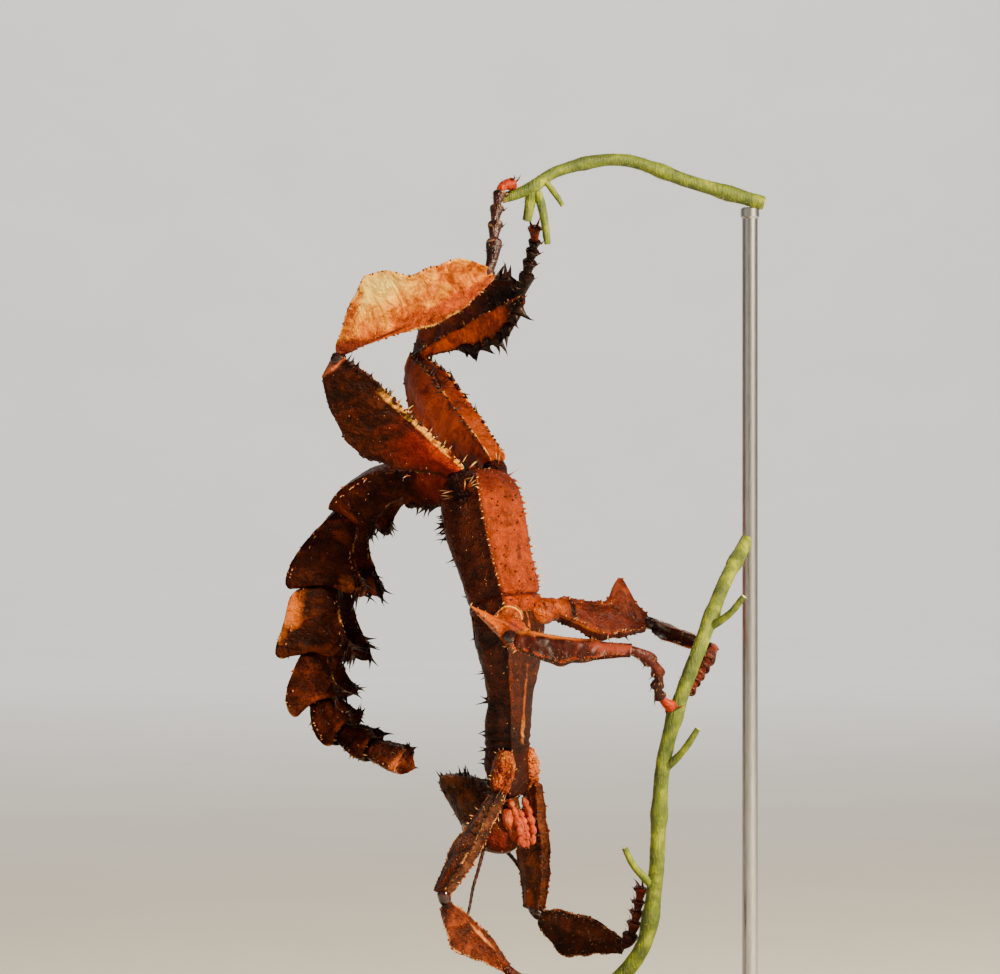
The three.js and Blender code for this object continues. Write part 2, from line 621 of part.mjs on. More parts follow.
let head = headSolid();
for (const [height, back, side, length, lean] of CROWN_SPINES) {
  const direction = UP.clone().addScaledVector(BACK, lean).addScaledVector(LEFT, side * 0.5);
  head = head.add(spineAt(inBody(back, height, side), direction, length));
}
const headRoom = headSolid(GAP);
place('head', less(head, trunkRoom[0]), shell);

for (const [name, side] of [['left', 1], ['right', -1]]) {
  const ball = new THREE.SphereGeometry(EYE.radius, 7, 5);
  const { x, y, z } = inBody(EYE.back, EYE.height, EYE.side * side);
  ball.translate(x, y, z);
  place(`eye_${name}`, less(solid(ball), headRoom), eye);
}

for (const [name, side, line] of [['left', 1, LEFT_ANTENNA], ['right', -1, RIGHT_ANTENNA]]) {
  const root = inBody(ANTENNA_ROOT.back, ANTENNA_ROOT.height, ANTENNA_ROOT.side * side).toArray();
  const feeler = tube([root, ...line], ANTENNA_RADIUS, { sides: 5, steps: 6 });
  place(`antenna_${name}`, less(feeler, headRoom), dark);
}

function mouthparts() {
  const { back, height, half } = LABRUM;
  const lip = new THREE.SphereGeometry(1, 6, 4);
  lip.scale(half[0], half[1], half[2]);
  lip.rotateZ(turn);
  const { x, y, z } = inBody(back, height);
  lip.translate(x, y, z);
  let body = solid(lip);
  for (const palp of PALPS) {
    for (const side of [-1, 1]) {
      const [rootBack, rootHeight] = palp.root;
      const points = [0, 0.4, 0.75, 1].map((part) => {
        const back = rootBack - Math.sin(Math.PI * 0.62 * part) * palp.reach[0];
        return inBody(back, rootHeight + palp.reach[1] * part, side * (palp.side - 0.3 * part)).toArray();
      });
      const beads = (part) => 0.8 + 0.35 * Math.abs(Math.sin(Math.PI * part * 4));
      body = body.add(tube(points, [palp.radius, palp.radius * 0.8], { sides: 5, steps: 5, swell: beads }));
    }
  }
  return body;
}
place('mouthparts', less(mouthparts(), headRoom, trunkRoom[0]), mouth);

// wing pads on the back of the mesothorax
const padStart = TRUNK[0].length + WING_PAD.start * TRUNK[1].length;
for (const [name, side] of [['left', 1], ['right', -1]]) {
  const rings = [[0, 0.5], [0.3, 0.9], [0.7, 1], [1, 0.45]].map(([part, share]) => {
    const frame = bodyFrame(trunkCurve, padStart + part * WING_PAD.length);
    const half = (WING_PAD.width * share) / 2;
    const [inside, outside] = [side * (WING_PAD.side - half), side * (WING_PAD.side + half)];
    return [
      atFrame(frame, inside, WING_PAD.lift + PAD_EDGES.crown),
      atFrame(frame, outside, WING_PAD.lift + PAD_EDGES.rim),
      atFrame(frame, outside, WING_PAD.lift - PAD_EDGES.under),
      atFrame(frame, inside, WING_PAD.lift - PAD_EDGES.under),
    ];
  });
  place(`wing_pad_${name}`, less(solid(loft(rings)), ...trunkRoom), lobes);
}

// legs
for (const [name, leg] of Object.entries(LEGS)) {
  const [root, hip, knee, ankle] = [leg.root, leg.hip, leg.knee, leg.ankle].map(vec);
  const thigh = knee.clone().sub(hip).normalize();
  const shin = ankle.clone().sub(knee).normalize();
  const hipEnd = hip.clone().addScaledVector(thigh, HIP_SINK);
  const femurEnd = knee.clone().addScaledVector(thigh, -FEMUR_STOP);
  const tibiaStart = knee.clone().addScaledVector(shin, TIBIA_START);
  const femurOuter = outerSide(knee, hip, ankle, -leg.roll);
  const tibiaOuter = outerSide(knee, ankle, hip, leg.tibiaRoll);
  const coxaRoom = coxa(root, hip, leg.coxa, GAP);
  const femurRoom = limb(hipEnd, femurEnd, femurOuter, leg.femur, leg.flexor, GAP);
  const tibiaRoom = limb(tibiaStart, ankle, tibiaOuter, leg.tibia, leg.flexor, GAP);
  place(`${name}_coxa`, less(coxa(root, hip, leg.coxa), ...trunkRoom, headRoom), shell);
  const femur = limb(hipEnd, femurEnd, femurOuter, leg.femur, leg.flexor);
  place(`${name}_femur`, less(femur, coxaRoom, ...trunkRoom, headRoom), lobes);
  const tibia = limb(tibiaStart, ankle, tibiaOuter, leg.tibia, leg.flexor);
  place(`${name}_tibia`, less(tibia, femurRoom), lobes);
  const start = ankle.clone().addScaledVector(shin, -HIP_SINK).toArray();
  place(`${name}_tarsus`, less(tarsus([start, ...leg.toe], leg.tarsus), tibiaRoom, ...twigRoom), dark);
}

// twigs and stand
place('perch_top', twig(TOP_TWIG), bark);
place('perch_side', less(twig(SIDE_TWIG), rod(TALL_ROD, GAP)), bark);
place('stand_rod_tall', less(rod(TALL_ROD), twigRoom[0]), steel);
place('stand_rod_short', less(rod(SHORT_ROD), twigRoom[1]), steel);
place('stand_base', baseplate(), wood);

export default insect;
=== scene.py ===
"""A life-size spiny stick insect with leaf-like legs, head down between two cut twigs on a display stand.

The tables are in millimetres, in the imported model's frame, and MM turns them into metres.
A body part is built lying along +X with its back or outer edge up, and is then put in its place.
"""

import math
import random

import bmesh
import bpy
import numpy as np
from mathutils import Matrix, Vector


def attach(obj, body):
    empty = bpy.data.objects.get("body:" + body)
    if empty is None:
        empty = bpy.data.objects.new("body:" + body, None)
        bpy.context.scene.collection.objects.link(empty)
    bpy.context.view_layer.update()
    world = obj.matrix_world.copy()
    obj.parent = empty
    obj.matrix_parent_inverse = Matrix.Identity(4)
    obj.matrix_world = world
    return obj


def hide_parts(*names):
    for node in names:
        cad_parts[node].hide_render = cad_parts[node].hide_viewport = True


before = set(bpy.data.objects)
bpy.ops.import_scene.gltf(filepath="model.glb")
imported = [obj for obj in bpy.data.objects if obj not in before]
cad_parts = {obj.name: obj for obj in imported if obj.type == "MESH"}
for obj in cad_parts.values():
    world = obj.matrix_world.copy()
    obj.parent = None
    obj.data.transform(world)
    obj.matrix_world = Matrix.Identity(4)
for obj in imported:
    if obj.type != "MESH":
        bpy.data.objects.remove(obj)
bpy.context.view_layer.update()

MM = 0.001
rng = random.Random(7)

# ---------- the body's directions and lines ----------

BODY_TURN = math.radians(35)
BACK = Vector((-math.cos(BODY_TURN), math.sin(BODY_TURN), 0))
LEFT = Vector((-math.sin(BODY_TURN), -math.cos(BODY_TURN), 0))
UP = Vector((0, 0, 1))

# Middle lines of the trunk and of the tail, as (towards the back, height).
TRUNK_LINE = [
    (-0.4, 57.9), (-0.4, 65.5), (-0.4, 73.3), (0.1, 81), (1, 88.5), (3.9, 98.4), (6.2, 106.4), (7, 113.2),
]
TAIL_LINE = [
    (7.2, 110.6), (12.5, 110.9), (18, 111), (23.4, 110.9), (28, 109.3), (32, 106), (35.2, 100.8),
    (37, 96), (38.4, 89.5), (39.6, 82.9), (40.2, 76.6), (39, 71.2), (35.8, 67.2), (30.5, 64.4),
    (25, 62.5), (19.4, 60.8),
]

# Joints of each leg, from where the coxa leaves the trunk to the tip of the foot. coxa is a radius, foot
# and flexor are the sizes of the foot and of the inner edges, and the rolls turn a limb about itself.
LEGS = {
    "hind_left": {
        "root": (-6.6, -0.2, 107.6), "hip": (-8.4, -2.6, 112.6), "knee": (-30, -18.5, 131.7),
        "ankle": (-3.1, -13, 145.8), "coxa": 2.7, "foot": 1.0, "flexor": 0.8, "foot_finish": "foot",
        "toe": [
            (-2.6, -12.4, 148.4), (-2.2, -10, 152.9), (-1.8, -7.6, 157.6), (-0.9, -5.6, 161.3),
            (1, -4.4, 162),
        ],
    },
    "hind_right": {
        "root": (-1.4, 6.6, 107.8), "hip": (-2.2, 7.8, 113.4), "knee": (-17.6, 25.5, 132.4),
        "ankle": (2.4, 5, 143), "coxa": 2.7, "foot": 1.0, "flexor": 1.2,
        "thigh_finish": "lit_far_femur", "shin_finish": "far_tibia", "foot_finish": "shaded_far_foot",
        "toe": [(3, 4, 145.2), (3.9, 2, 148.9), (4.7, -0.4, 152.2), (4.7, -1.8, 154.7)],
    },
    "mid_left": {
        "root": (0.6, -3.6, 87.8), "hip": (0.3, -7.4, 87.3), "knee": (-0.4, -26.5, 85),
        "ankle": (20, -26, 83), "coxa": 2.5, "foot": 0.75, "flexor": 1.0, "roll": -30, "shin_roll": 250,
        "thigh_finish": "lit_horn_femur", "coxa_finish": "near_coxa",
        "toe": [
            (21.6, -25.6, 82.4), (24, -24.2, 81), (25.4, -22.4, 78.6), (25.3, -20.6, 76), (26.4, -19, 74),
            (27.8, -18, 72.9),
        ],
    },
    "mid_right": {
        "root": (4.6, 1.6, 88.2), "hip": (8.2, 3.4, 88.9), "knee": (25.6, 12, 86.2),
        "ankle": (35.3, -4, 82.4), "coxa": 2.5, "foot": 0.75, "flexor": 1.0, "roll": 60,
        "toe": [(35, -5.4, 81.6), (33.9, -8.4, 79.8), (32.4, -11.6, 77.6), (30.9, -14.6, 75.4)],
    },
    "fore_left": {
        "root": (-0.2, -3, 64.2), "hip": (-1.2, -4.8, 58.4), "knee": (-11.7, -17, 40.8),
        "ankle": (-0.4, -9.6, 28.4), "coxa": 2.2, "foot": 0.75, "flexor": 1.0, "roll": 70,
        "thigh_finish": "lit_femur", "shin_finish": "lit_tibia",
        "toe": [(0.8, -9, 27), (3, -8, 24.4), (5.4, -6.9, 21.8), (7.2, -6.2, 20.4)],
    },
    "fore_right": {
        "root": (3.6, 1.4, 64.6), "hip": (4.1, 2.2, 59), "knee": (4.2, 4, 35.9),
        "ankle": (19.3, -6, 31.2), "coxa": 1.8, "foot": 0.75, "flexor": 1.5,
        "toe": [(20.6, -7.6, 32.4), (21.6, -8.6, 35), (22.3, -9.4, 38.4), (22.9, -10.2, 41.8)],
    },
}


# ---------- camera, floor and light ----------

CAMERA = {"place": (-1.2, -800, 110), "wide": 172.4, "sensor": 36}
# In metres: the flat part's radius and that of the curved rim, which rises in a quarter circle.
FLOOR = {"flat": 2.2, "rim": 1.1, "steps": 10}
# In metres and watts. The first three aim at the insect, and the last one lights the rim behind it.
INSECT_MIDDLE = (0, 0, 0.09)
LIGHTS = [
    {"name": "key", "place": (0.5, -0.46, 0.46), "aim": INSECT_MIDDLE, "size": 0.13, "watts": 21,
     "colour": (1, 0.85, 0.58)},
    {"name": "fill", "place": (-0.8, -0.7, 0.4), "aim": INSECT_MIDDLE, "size": 1.0, "watts": 1.0,
     "colour": (1, 0.95, 0.88)},
    {"name": "back", "place": (-0.3, 0.9, 0.8), "aim": INSECT_MIDDLE, "size": 0.6, "watts": 2.5,
     "colour": (1, 0.93, 0.84)},
    {"name": "backdrop", "place": (0, 1.6, 1.7), "aim": (0, 3.2, 0.5), "size": 1.6, "watts": 50,
     "colour": (1, 0.99, 0.97)},
]
SKY = {"colour": (1, 0.96, 0.9, 1), "strength": 0.1}


def set_camera():
    bpy.ops.object.camera_add(location=Vector(CAMERA["place"]) * MM, rotation=(math.pi / 2, 0, 0))
    camera = bpy.context.object
    camera.name = "camera"
    camera.data.sensor_width = CAMERA["sensor"]
    camera.data.lens = CAMERA["sensor"] * -CAMERA["place"][1] / CAMERA["wide"]
    bpy.context.scene.camera = camera


def set_floor():
    """A pale round floor whose rim curves up on every side."""
    flat, rim = FLOOR["flat"], FLOOR["rim"]
    bpy.ops.mesh.primitive_circle_add(vertices=96, radius=flat, fill_type="NGON")
    floor = bpy.context.object
    floor.name = "floor"
    bpy.ops.object.mode_set(mode="EDIT")
    turn = math.pi / 2 / FLOOR["steps"]
    for step in range(1, FLOOR["steps"] + 1):
        angle = step * turn
        rise = rim * (math.cos(angle - turn) - math.cos(angle))
        spread = rim * (math.sin(angle) - math.sin(angle - turn))
        radius = flat + rim * math.sin(angle - turn)
        bpy.ops.mesh.extrude_region_move(TRANSFORM_OT_translate={"value": (0, 0, rise)})
        bpy.ops.transform.resize(value=((radius + spread) / radius, (radius + spread) / radius, 1))
    bpy.ops.mesh.delete(type="ONLY_FACE")
    bpy.ops.mesh.select_all(action="SELECT")
    bpy.ops.mesh.normals_make_consistent(inside=True)
    bpy.ops.object.mode_set(mode="OBJECT")
    bpy.ops.object.shade_smooth()
    floor.data.materials.append(finish["floor"])


def set_lights():
    """A soft warm key from the front right, a broad weak fill and a weak light from behind."""
    for spec in LIGHTS:
        bpy.ops.object.light_add(type="AREA", location=spec["place"])
        light = bpy.context.object
        light.name = spec["name"]
        light.data.shape = "DISK"
        light.data.size = spec["size"]
        light.data.energy = spec["watts"]
        light.data.color = spec["colour"]
        towards = Vector(spec["aim"]) - Vector(spec["place"])
        light.rotation_euler = towards.to_track_quat("-Z", "Y").to_euler()
    world = bpy.data.worlds.new("studio")
    bpy.context.scene.world = world
    world.use_nodes = True
    background = world.node_tree.nodes["Background"]
    background.inputs["Color"].default_value = SKY["colour"]
    background.inputs["Strength"].default_value = SKY["strength"]


# ---------- tools ----------


def nothing_selected():
    bpy.ops.object.select_all(action="DESELECT")


def pick(test):
    """Selects the vertices of the mesh in edit mode that pass the test."""
    data = bpy.context.object.data
    mesh = bmesh.from_edit_mesh(data)
    spot = mesh.verts.layers.int.get("spot")
    for vert in mesh.verts:
        vert.select_set(bool(test(vert.co, vert[spot] if spot is not None else 0)))
    mesh.select_flush(True)
    bmesh.update_edit_mesh(data)


def smooth_line(points, count=400):
    """Evenly spaced points of a smooth line through the given ones, and its length."""
    known = np.array([tuple(p) for p in points], float)
    padded = np.vstack([2 * known[0] - known[1], known, 2 * known[-1] - known[-2]])
    steps_between = 40
    parts = np.linspace(0, 1, steps_between, endpoint=False)[:, None]
    rows = []
    for a, b, c, d in zip(padded, padded[1:], padded[2:], padded[3:]):
        rows.append(0.5 * (2 * b + (c - a) * parts + (2 * a - 5 * b + 4 * c - d) * parts**2
                           + (3 * b - a - 3 * c + d) * parts**3))
    fine = np.vstack([*rows, known[-1:]])
    run = np.concatenate([[0], np.cumsum(np.linalg.norm(np.diff(fine, axis=0), axis=1))])
    at = np.linspace(0, run[-1], count)
    return np.stack([np.interp(at, run, fine[:, axis]) for axis in range(fine.shape[1])], 1), run[-1]


def in_body(back, height, side=0.0):
    return BACK * back + LEFT * side + UP * height


class BodyLine:
    """A line down the middle of the body, with a dorsal direction at each place."""

    def __init__(self, line):
        self.points, self.length = smooth_line([in_body(back, height) for back, height in line])
        self.run = np.linspace(0, self.length, len(self.points))
        tangents = np.gradient(self.points, axis=0)
        self.tangents = tangents / np.linalg.norm(tangents, axis=1)[:, None]

    def lay(self, coords):
        """Moves points (along, right, back) from the straight onto the line."""
        along = np.clip(coords[:, 0], 0, self.length)
        middle = np.stack([np.interp(along, self.run, self.points[:, k]) for k in range(3)], 1)
        tangent = np.stack([np.interp(along, self.run, self.tangents[:, k]) for k in range(3)], 1)
        back = np.cross(np.array(LEFT), tangent)
        spare = (coords[:, 0] - along)[:, None] * tangent
        return middle + spare - np.array(LEFT) * coords[:, 1:2] + back * coords[:, 2:3]


trunk_line = BodyLine(TRUNK_LINE)
tail_line = BodyLine(TAIL_LINE)

# Two places along a part that differ by less than this are the same.
SAME = 1e-4
KEEL_CREASE = 0.75


def disc_across(name, sides):
    """A flat disc of radius 1 across the x axis, from which a piece is extruded."""
    nothing_selected()
    bpy.ops.mesh.primitive_circle_add(vertices=sides, fill_type="NGON", rotation=(0, -math.pi / 2, 0))
    piece = bpy.context.object
    piece.name = name
    bpy.ops.object.transform_apply(location=True, rotation=True, scale=True)
    return piece


def ring_stack(name, section, rings, keels=()):
    """A closed piece along +X, extruded ring by ring.

    section is half a ring as (side, height) from its top to its bottom, and each ring is
    (x, half width, top, bottom, lift). keels are the section's places that count as an edge.
    """
    sides = 2 * (len(section) - 1)
    piece = disc_across(name, sides)
    # each vertex takes a place of the section, counted from the top down one side and up the other
    order = sorted(piece.data.vertices, key=lambda v: math.atan2(v.co.y, v.co.z) % (2 * math.pi))
    for attribute_name, kind in (("spot", "INT"), ("rim", "FLOAT"), ("outer", "FLOAT")):
        piece.data.attributes.new(attribute_name, kind, "POINT")
    spots, rims, outers = (piece.data.attributes[key].data for key in ("spot", "rim", "outer"))
    for place, vert in enumerate(order):
        mirror = 1 if place < len(section) else -1
        spot = place if mirror > 0 else sides - place
        spots[vert.index].value = spot * mirror
        rims[vert.index].value = 1.0 if spot in keels else 0.0
        outers[vert.index].value = 1 - spot / (len(section) - 1)
        vert.co = (0, section[spot][0] * mirror, section[spot][1])
    size = (1, 1, 1)
    place = lift = 0.0
    bpy.ops.object.mode_set(mode="EDIT")
    for count, (x, wide, top, low, *rest) in enumerate(rings):
        rise = rest[0] if rest else 0.0
        if count == 0:
            bpy.ops.transform.translate(value=(x, 0, rise))
        else:
            bpy.ops.mesh.extrude_region_move(TRANSFORM_OT_translate={"value": (x - place, 0, rise - lift)})
        place = x
        lift = rise
        middle = (x, 0, lift)
        bpy.ops.transform.resize(value=(1, wide / size[0], 1), center_override=middle)
        pick(lambda p, spot: abs(p.x - x) < SAME and p.z > lift)
        bpy.ops.transform.resize(value=(1, 1, top / size[1]), center_override=middle)
        pick(lambda p, spot: abs(p.x - x) < SAME and p.z < lift)
        bpy.ops.transform.resize(value=(1, 1, low / size[2]), center_override=middle)
        pick(lambda p, spot: abs(p.x - x) < SAME)
        size = (wide, top, low)
    if keels:
        pick(lambda p, spot: abs(spot) in keels)
        bpy.ops.transform.edge_crease(value=KEEL_CREASE)
    face_outwards()
    bpy.ops.object.mode_set(mode="OBJECT")
    return piece


def face_outwards():
    bpy.ops.mesh.select_all(action="SELECT")
    bpy.ops.mesh.normals_make_consistent(inside=False)


def round_rings(rows, size=1.0):
    """Rings that are as high as wide, from rows of (x, radius) or (x, radius, lift)."""
    return [(x, radius * size, radius * size, radius * size, *lift) for x, radius, *lift in rows]


def apply_modifier(piece, kind, **settings):
    bpy.context.view_layer.objects.active = piece
    modifier = piece.modifiers.new(kind.lower(), kind)
    for key, value in settings.items():
        setattr(modifier, key, value)
    bpy.ops.object.modifier_apply(modifier=modifier.name)


def lumps(kind, size):
    texture = bpy.data.textures.new(f"{kind.lower()}_{size}", kind)
    texture.noise_scale = size
    return texture


def smooth_out(piece, levels, roughness=((3.2, 0.5), (1.1, 0.22))):
    """Subdivides the piece and gives it uneven skin, each (size, depth) in millimetres."""
    apply_modifier(piece, "SUBSURF", levels=levels, render_levels=levels)
    for size, depth in roughness:
        texture = lumps("CLOUDS", size)
        apply_modifier(piece, "DISPLACE", texture=texture, strength=depth, texture_coords="LOCAL")


def coords_of(piece):
    coords = np.empty(len(piece.data.vertices) * 3, np.float32)
    piece.data.vertices.foreach_get("co", coords)
    return coords.reshape(-1, 3).astype(float)


def set_coords(piece, coords):
    piece.data.vertices.foreach_set("co", np.ascontiguousarray(coords, np.float32).ravel())
    piece.data.update()


def keep(mesh, name, values):
    """Keeps one number for each vertex under a name."""
    layer = mesh.attributes.get(name) or mesh.attributes.new(name, "FLOAT", "POINT")
    layer.data.foreach_set("value", values.astype(np.float32))


def mark(piece, start, end):
    """Keeps where each vertex lies along the part and on which side, for its markings."""
    coords = coords_of(piece)
    middle_half = 0.05
    keep(piece.data, "along", np.clip((coords[:, 0] - start) / (end - start), 0, 1))
    keep(piece.data, "side", np.sign(coords[:, 1]) * (np.abs(coords[:, 1]) > middle_half))


def put(coords, place):
    return coords @ np.array(place.to_3x3()).T + np.array(place.translation)


def shade_smooth(mesh):
    for face in mesh.polygons:
        face.use_smooth = True


def settle(piece, material, nodes=(), place=None, line=None):
    """Puts a finished part in its place in metres, gives it its material and hides the imported parts it
    stands for.
    """
    coords = coords_of(piece)
    if line is not None:
        coords = line.lay(coords)
    if place is not None:
        coords = put(coords, place)
    set_coords(piece, coords * MM)
    spot = piece.data.attributes.get("spot")
    if spot:
        piece.data.attributes.remove(spot)
    piece.data.materials.clear()
    piece.data.materials.append(material)
    shade_smooth(piece.data)
    if nodes:
        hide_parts(*nodes)
    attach(piece, "root")
    return piece


def basis(start, along, outer):
    """The place of a part whose +X runs along and whose +Z points outwards."""
    x = along.normalized()
    z = (outer - x * outer.dot(x)).normalized()
    y = z.cross(x)
    place = Matrix((x, y, z)).transposed().to_4x4()
    place.translation = start
    return place


# ---------- materials ----------


def node(tree, kind, inputs=None, **settings):
    made = tree.nodes.new(kind)
    for key, value in settings.items():
        setattr(made, key, value)
    for key, value in (inputs or {}).items():
        if isinstance(value, bpy.types.NodeSocket):
            tree.links.new(value, made.inputs[key])
        else:
            made.inputs[key].default_value = value
    return made


def ramp(tree, factor, stops):
    made = node(tree, "ShaderNodeValToRGB", {"Fac": factor})
    while len(made.color_ramp.elements) < len(stops):
        made.color_ramp.elements.new(0.5)
    for element, (place, colour) in zip(made.color_ramp.elements, stops):
        element.position = place
        element.color = (*colour, 1) if len(colour) == 3 else (colour[0],) * 3 + (1,)
    return made.outputs["Color"]


def fade(tree, value, low, high):
    """0 below low, 1 above high, smooth in between."""
    return node(tree, "ShaderNodeMapRange", {"Value": value, "From Min": low, "From Max": high},
                interpolation_type="SMOOTHSTEP").outputs["Result"]


def math_node(tree, operation, a, b):
    return node(tree, "ShaderNodeMath", {0: a, 1: b}, operation=operation).outputs["Value"]


def plus(tree, a, b):
    return math_node(tree, "ADD", a, b)


def times(tree, a, b):
    return math_node(tree, "MULTIPLY", a, b)


def blend(tree, factor, a, b, blend_type="MIX"):
    made = node(tree, "ShaderNodeMix", {"Factor": factor}, data_type="RGBA", blend_type=blend_type)
    for socket, value in ((made.inputs[6], a), (made.inputs[7], b)):
        if isinstance(value, bpy.types.NodeSocket):
            tree.links.new(value, socket)
        else:
            socket.default_value = (*value, 1)
    return made.outputs[2]


def noise(tree, vector, scale, detail=4.0, rough=0.55, warp=0.0):
    return node(tree, "ShaderNodeTexNoise", {
        "Vector": vector, "Scale": scale, "Detail": detail, "Roughness": rough, "Distortion": warp,
    }).outputs["Fac"]


def attribute(tree, name):
    return node(tree, "ShaderNodeAttribute", attribute_name=name).outputs["Fac"]


def bump_into(tree, shader, height, strength, depth):
    bump = node(tree, "ShaderNodeBump", {"Height": height, "Strength": strength, "Distance": depth})
    tree.links.new(bump.outputs["Normal"], shader.inputs["Normal"])


def new_material(name):
    material = bpy.data.materials.new(name)
    material.use_nodes = True
    return material, material.node_tree, material.node_tree.nodes["Principled BSDF"]


def object_mm(tree):
    """Object coordinates in millimetres."""
    inputs = {0: node(tree, "ShaderNodeTexCoord").outputs["Object"], 1: (1000, 1000, 1000)}
    return node(tree, "ShaderNodeVectorMath", inputs, operation="MULTIPLY").outputs[0]


# Sizes of the shell's patterns, as repeats in a millimetre.
PATCHES, GRAINS, FRECKLES, PEBBLES, EDGE_BREAKS = 0.2, 0.9, 1.7, 2.4, 0.45
# Folds over the length of a part and from its inner to its outer edge, and how far the patches bend them.
FOLDS = (14.0, 2.6, 3.0)
RELIEF_DEPTH = 0.0004


def paint_area_over(tree, colour, along, outer, uneven, spot):
    """One ragged area of another colour, mostly painted light or painted shade, given as (along, outer,
    reach, stretch, colour).
    """
    at_along, at_outer, reach, stretch, bright = spot
    off = node(tree, "ShaderNodeCombineXYZ", {
        "X": times(tree, math_node(tree, "SUBTRACT", along, at_along), 1 / stretch),
        "Y": math_node(tree, "SUBTRACT", outer, at_outer),
        "Z": times(tree, uneven, reach * 1.5),
    }).outputs["Vector"]
    far = node(tree, "ShaderNodeVectorMath", {0: off}, operation="LENGTH").outputs["Value"]
    ragged = plus(tree, far, times(tree, uneven, -1.6 * reach))
    return blend(tree, fade(tree, ragged, reach, reach * 0.3), colour, bright)


def cuticle(name, tones, edge, knee=None, inner=None, inner_at=(0.36, 0.28), knee_at=(0.8, 1.0),
            edge_at=(0.55, 0.95), edge_reach=None, bands=0.0, wrinkles=0.0, granules=0.5, relief=1.0, gloss=0.5,
            veil=0.13, painted_light_and_marks=()):
    """Leathery shell mottled in three tones, with its own edge, knee and inner-face colours.

    inner_at, knee_at and edge_at say where each of those colours fades in. The edge's reach says how far
    along and how far outwards the edge's colour goes, and the list of areas gives areas of another colour,
    mostly painted highlights, painted glow or painted shade and a few of the shell's own marks. A pale edge
    colour is a painted highlight on lit keels, and on some finishes the inner face's colour is partly painted
    light and shade. bands is how far the hollows of the folds darken, partly the shell's own streaks and
    partly painted shade. wrinkles, granules and relief are the heights of the folds, of the grains and of
    the whole. gloss lowers the roughness, and veil is the surface's reflection.
    """
    deep, mid, light = tones
    material, tree, shader = new_material(name)
    place = object_mm(tree)
    patches = noise(tree, place, PATCHES, 5, 0.62, 0.8)
    grain = noise(tree, place, GRAINS, 6, 0.6, 0.4)
    mottle = plus(tree, times(tree, patches, 0.7), times(tree, grain, 0.3))
    colour = ramp(tree, mottle, [(0.38, deep), (0.5, mid), (0.62, light)])
    along = attribute(tree, "along")
    rim = attribute(tree, "rim")
    outer = attribute(tree, "outer")
    uneven = math_node(tree, "SUBTRACT", mottle, 0.5)
    # the inner face's colour fades in along a ragged border; on the thorax that border is a painted shadow
    # edge
    if inner:
        face = fade(tree, plus(tree, outer, times(tree, uneven, 0.6)), *inner_at)
        darker, lighter = tuple(0.45 * c for c in inner), tuple(min(1, 1.4 * c) for c in inner)
        colour = blend(tree, face, colour, ramp(tree, mottle, [(0.4, darker), (0.49, inner), (0.6, lighter)]))
    if knee:
        near = fade(tree, plus(tree, along, times(tree, uneven, 0.5)), *knee_at)
        colour = blend(tree, near, colour, knee)
    # areas of painted light or painted shade, and a few of the shell's own marks
    for spot in painted_light_and_marks:
        colour = paint_area_over(tree, colour, along, outer, uneven, spot)
    folds = node(tree, "ShaderNodeCombineXYZ", {
        "X": times(tree, along, FOLDS[0]),
        "Y": times(tree, outer, FOLDS[1]),
        "Z": times(tree, patches, FOLDS[2]),
    }).outputs["Vector"]
    furrows = noise(tree, folds, 1.0, 6, 0.68, 1.1) if wrinkles or bands else None
    # the hollows of the folds are darker, partly the shell's own streaks and partly painted shade in the
    # furrows
    if bands:
        hollow = (1 - bands, 1 - 1.25 * bands, 1 - 1.3 * bands)
        tone = ramp(tree, furrows, [(0.36, hollow), (0.58, (1.0, 1.0, 1.0))])
        colour = blend(tree, 1.0, colour, tone, "MULTIPLY")
    # the edge colour lies in stretches along the keels, over a darker band beside them; where it is pale it
    # is a painted highlight on lit keels
    stretch = fade(tree, noise(tree, place, EDGE_BREAKS, 3, 0.5), 0.44, 0.56)
    brink = fade(tree, plus(tree, rim, uneven), *edge_at)
    for value, end in zip((along, outer), edge_reach or ()):
        brink = times(tree, brink, fade(tree, value, end + 0.06, end - 0.06))
    under = times(tree, fade(tree, rim, 0.05, 0.5), 0.45)
    colour = blend(tree, under, colour, blend(tree, 0.6, colour, deep))
    colour = blend(tree, times(tree, brink, stretch), colour, edge)
    cells = node(tree, "ShaderNodeTexVoronoi", {"Vector": place, "Scale": FRECKLES, "Randomness": 1.0})
    freckle = fade(tree, cells.outputs["Distance"], 0.22, 0.08)
    colour = blend(tree, times(tree, freckle, 0.5), colour, deep)
    tree.links.new(colour, shader.inputs["Base Color"])
    shine = ramp(tree, grain, [(0.35, (0.5 - gloss * 0.28,)), (0.7, (0.66 - gloss * 0.28,))])
    tree.links.new(shine, shader.inputs["Roughness"])
    shader.inputs["Specular IOR Level"].default_value = veil
    # relief: pebbled grains, fine wrinkles and, on lobes, folds that run out to the edge
    cells = node(tree, "ShaderNodeTexVoronoi", {"Vector": place, "Scale": PEBBLES}, feature="SMOOTH_F1")
    pebbles = fade(tree, cells.outputs["Distance"], 0.55, 0.1)
    height = plus(tree, times(tree, pebbles, 0.4 * granules),
                  plus(tree, times(tree, grain, 0.6), times(tree, patches, 3.0)))
    if wrinkles:
        height = plus(tree, height, times(tree, furrows, wrinkles))
    bump_into(tree, shader, height, 1.0, RELIEF_DEPTH * relief)
    return material


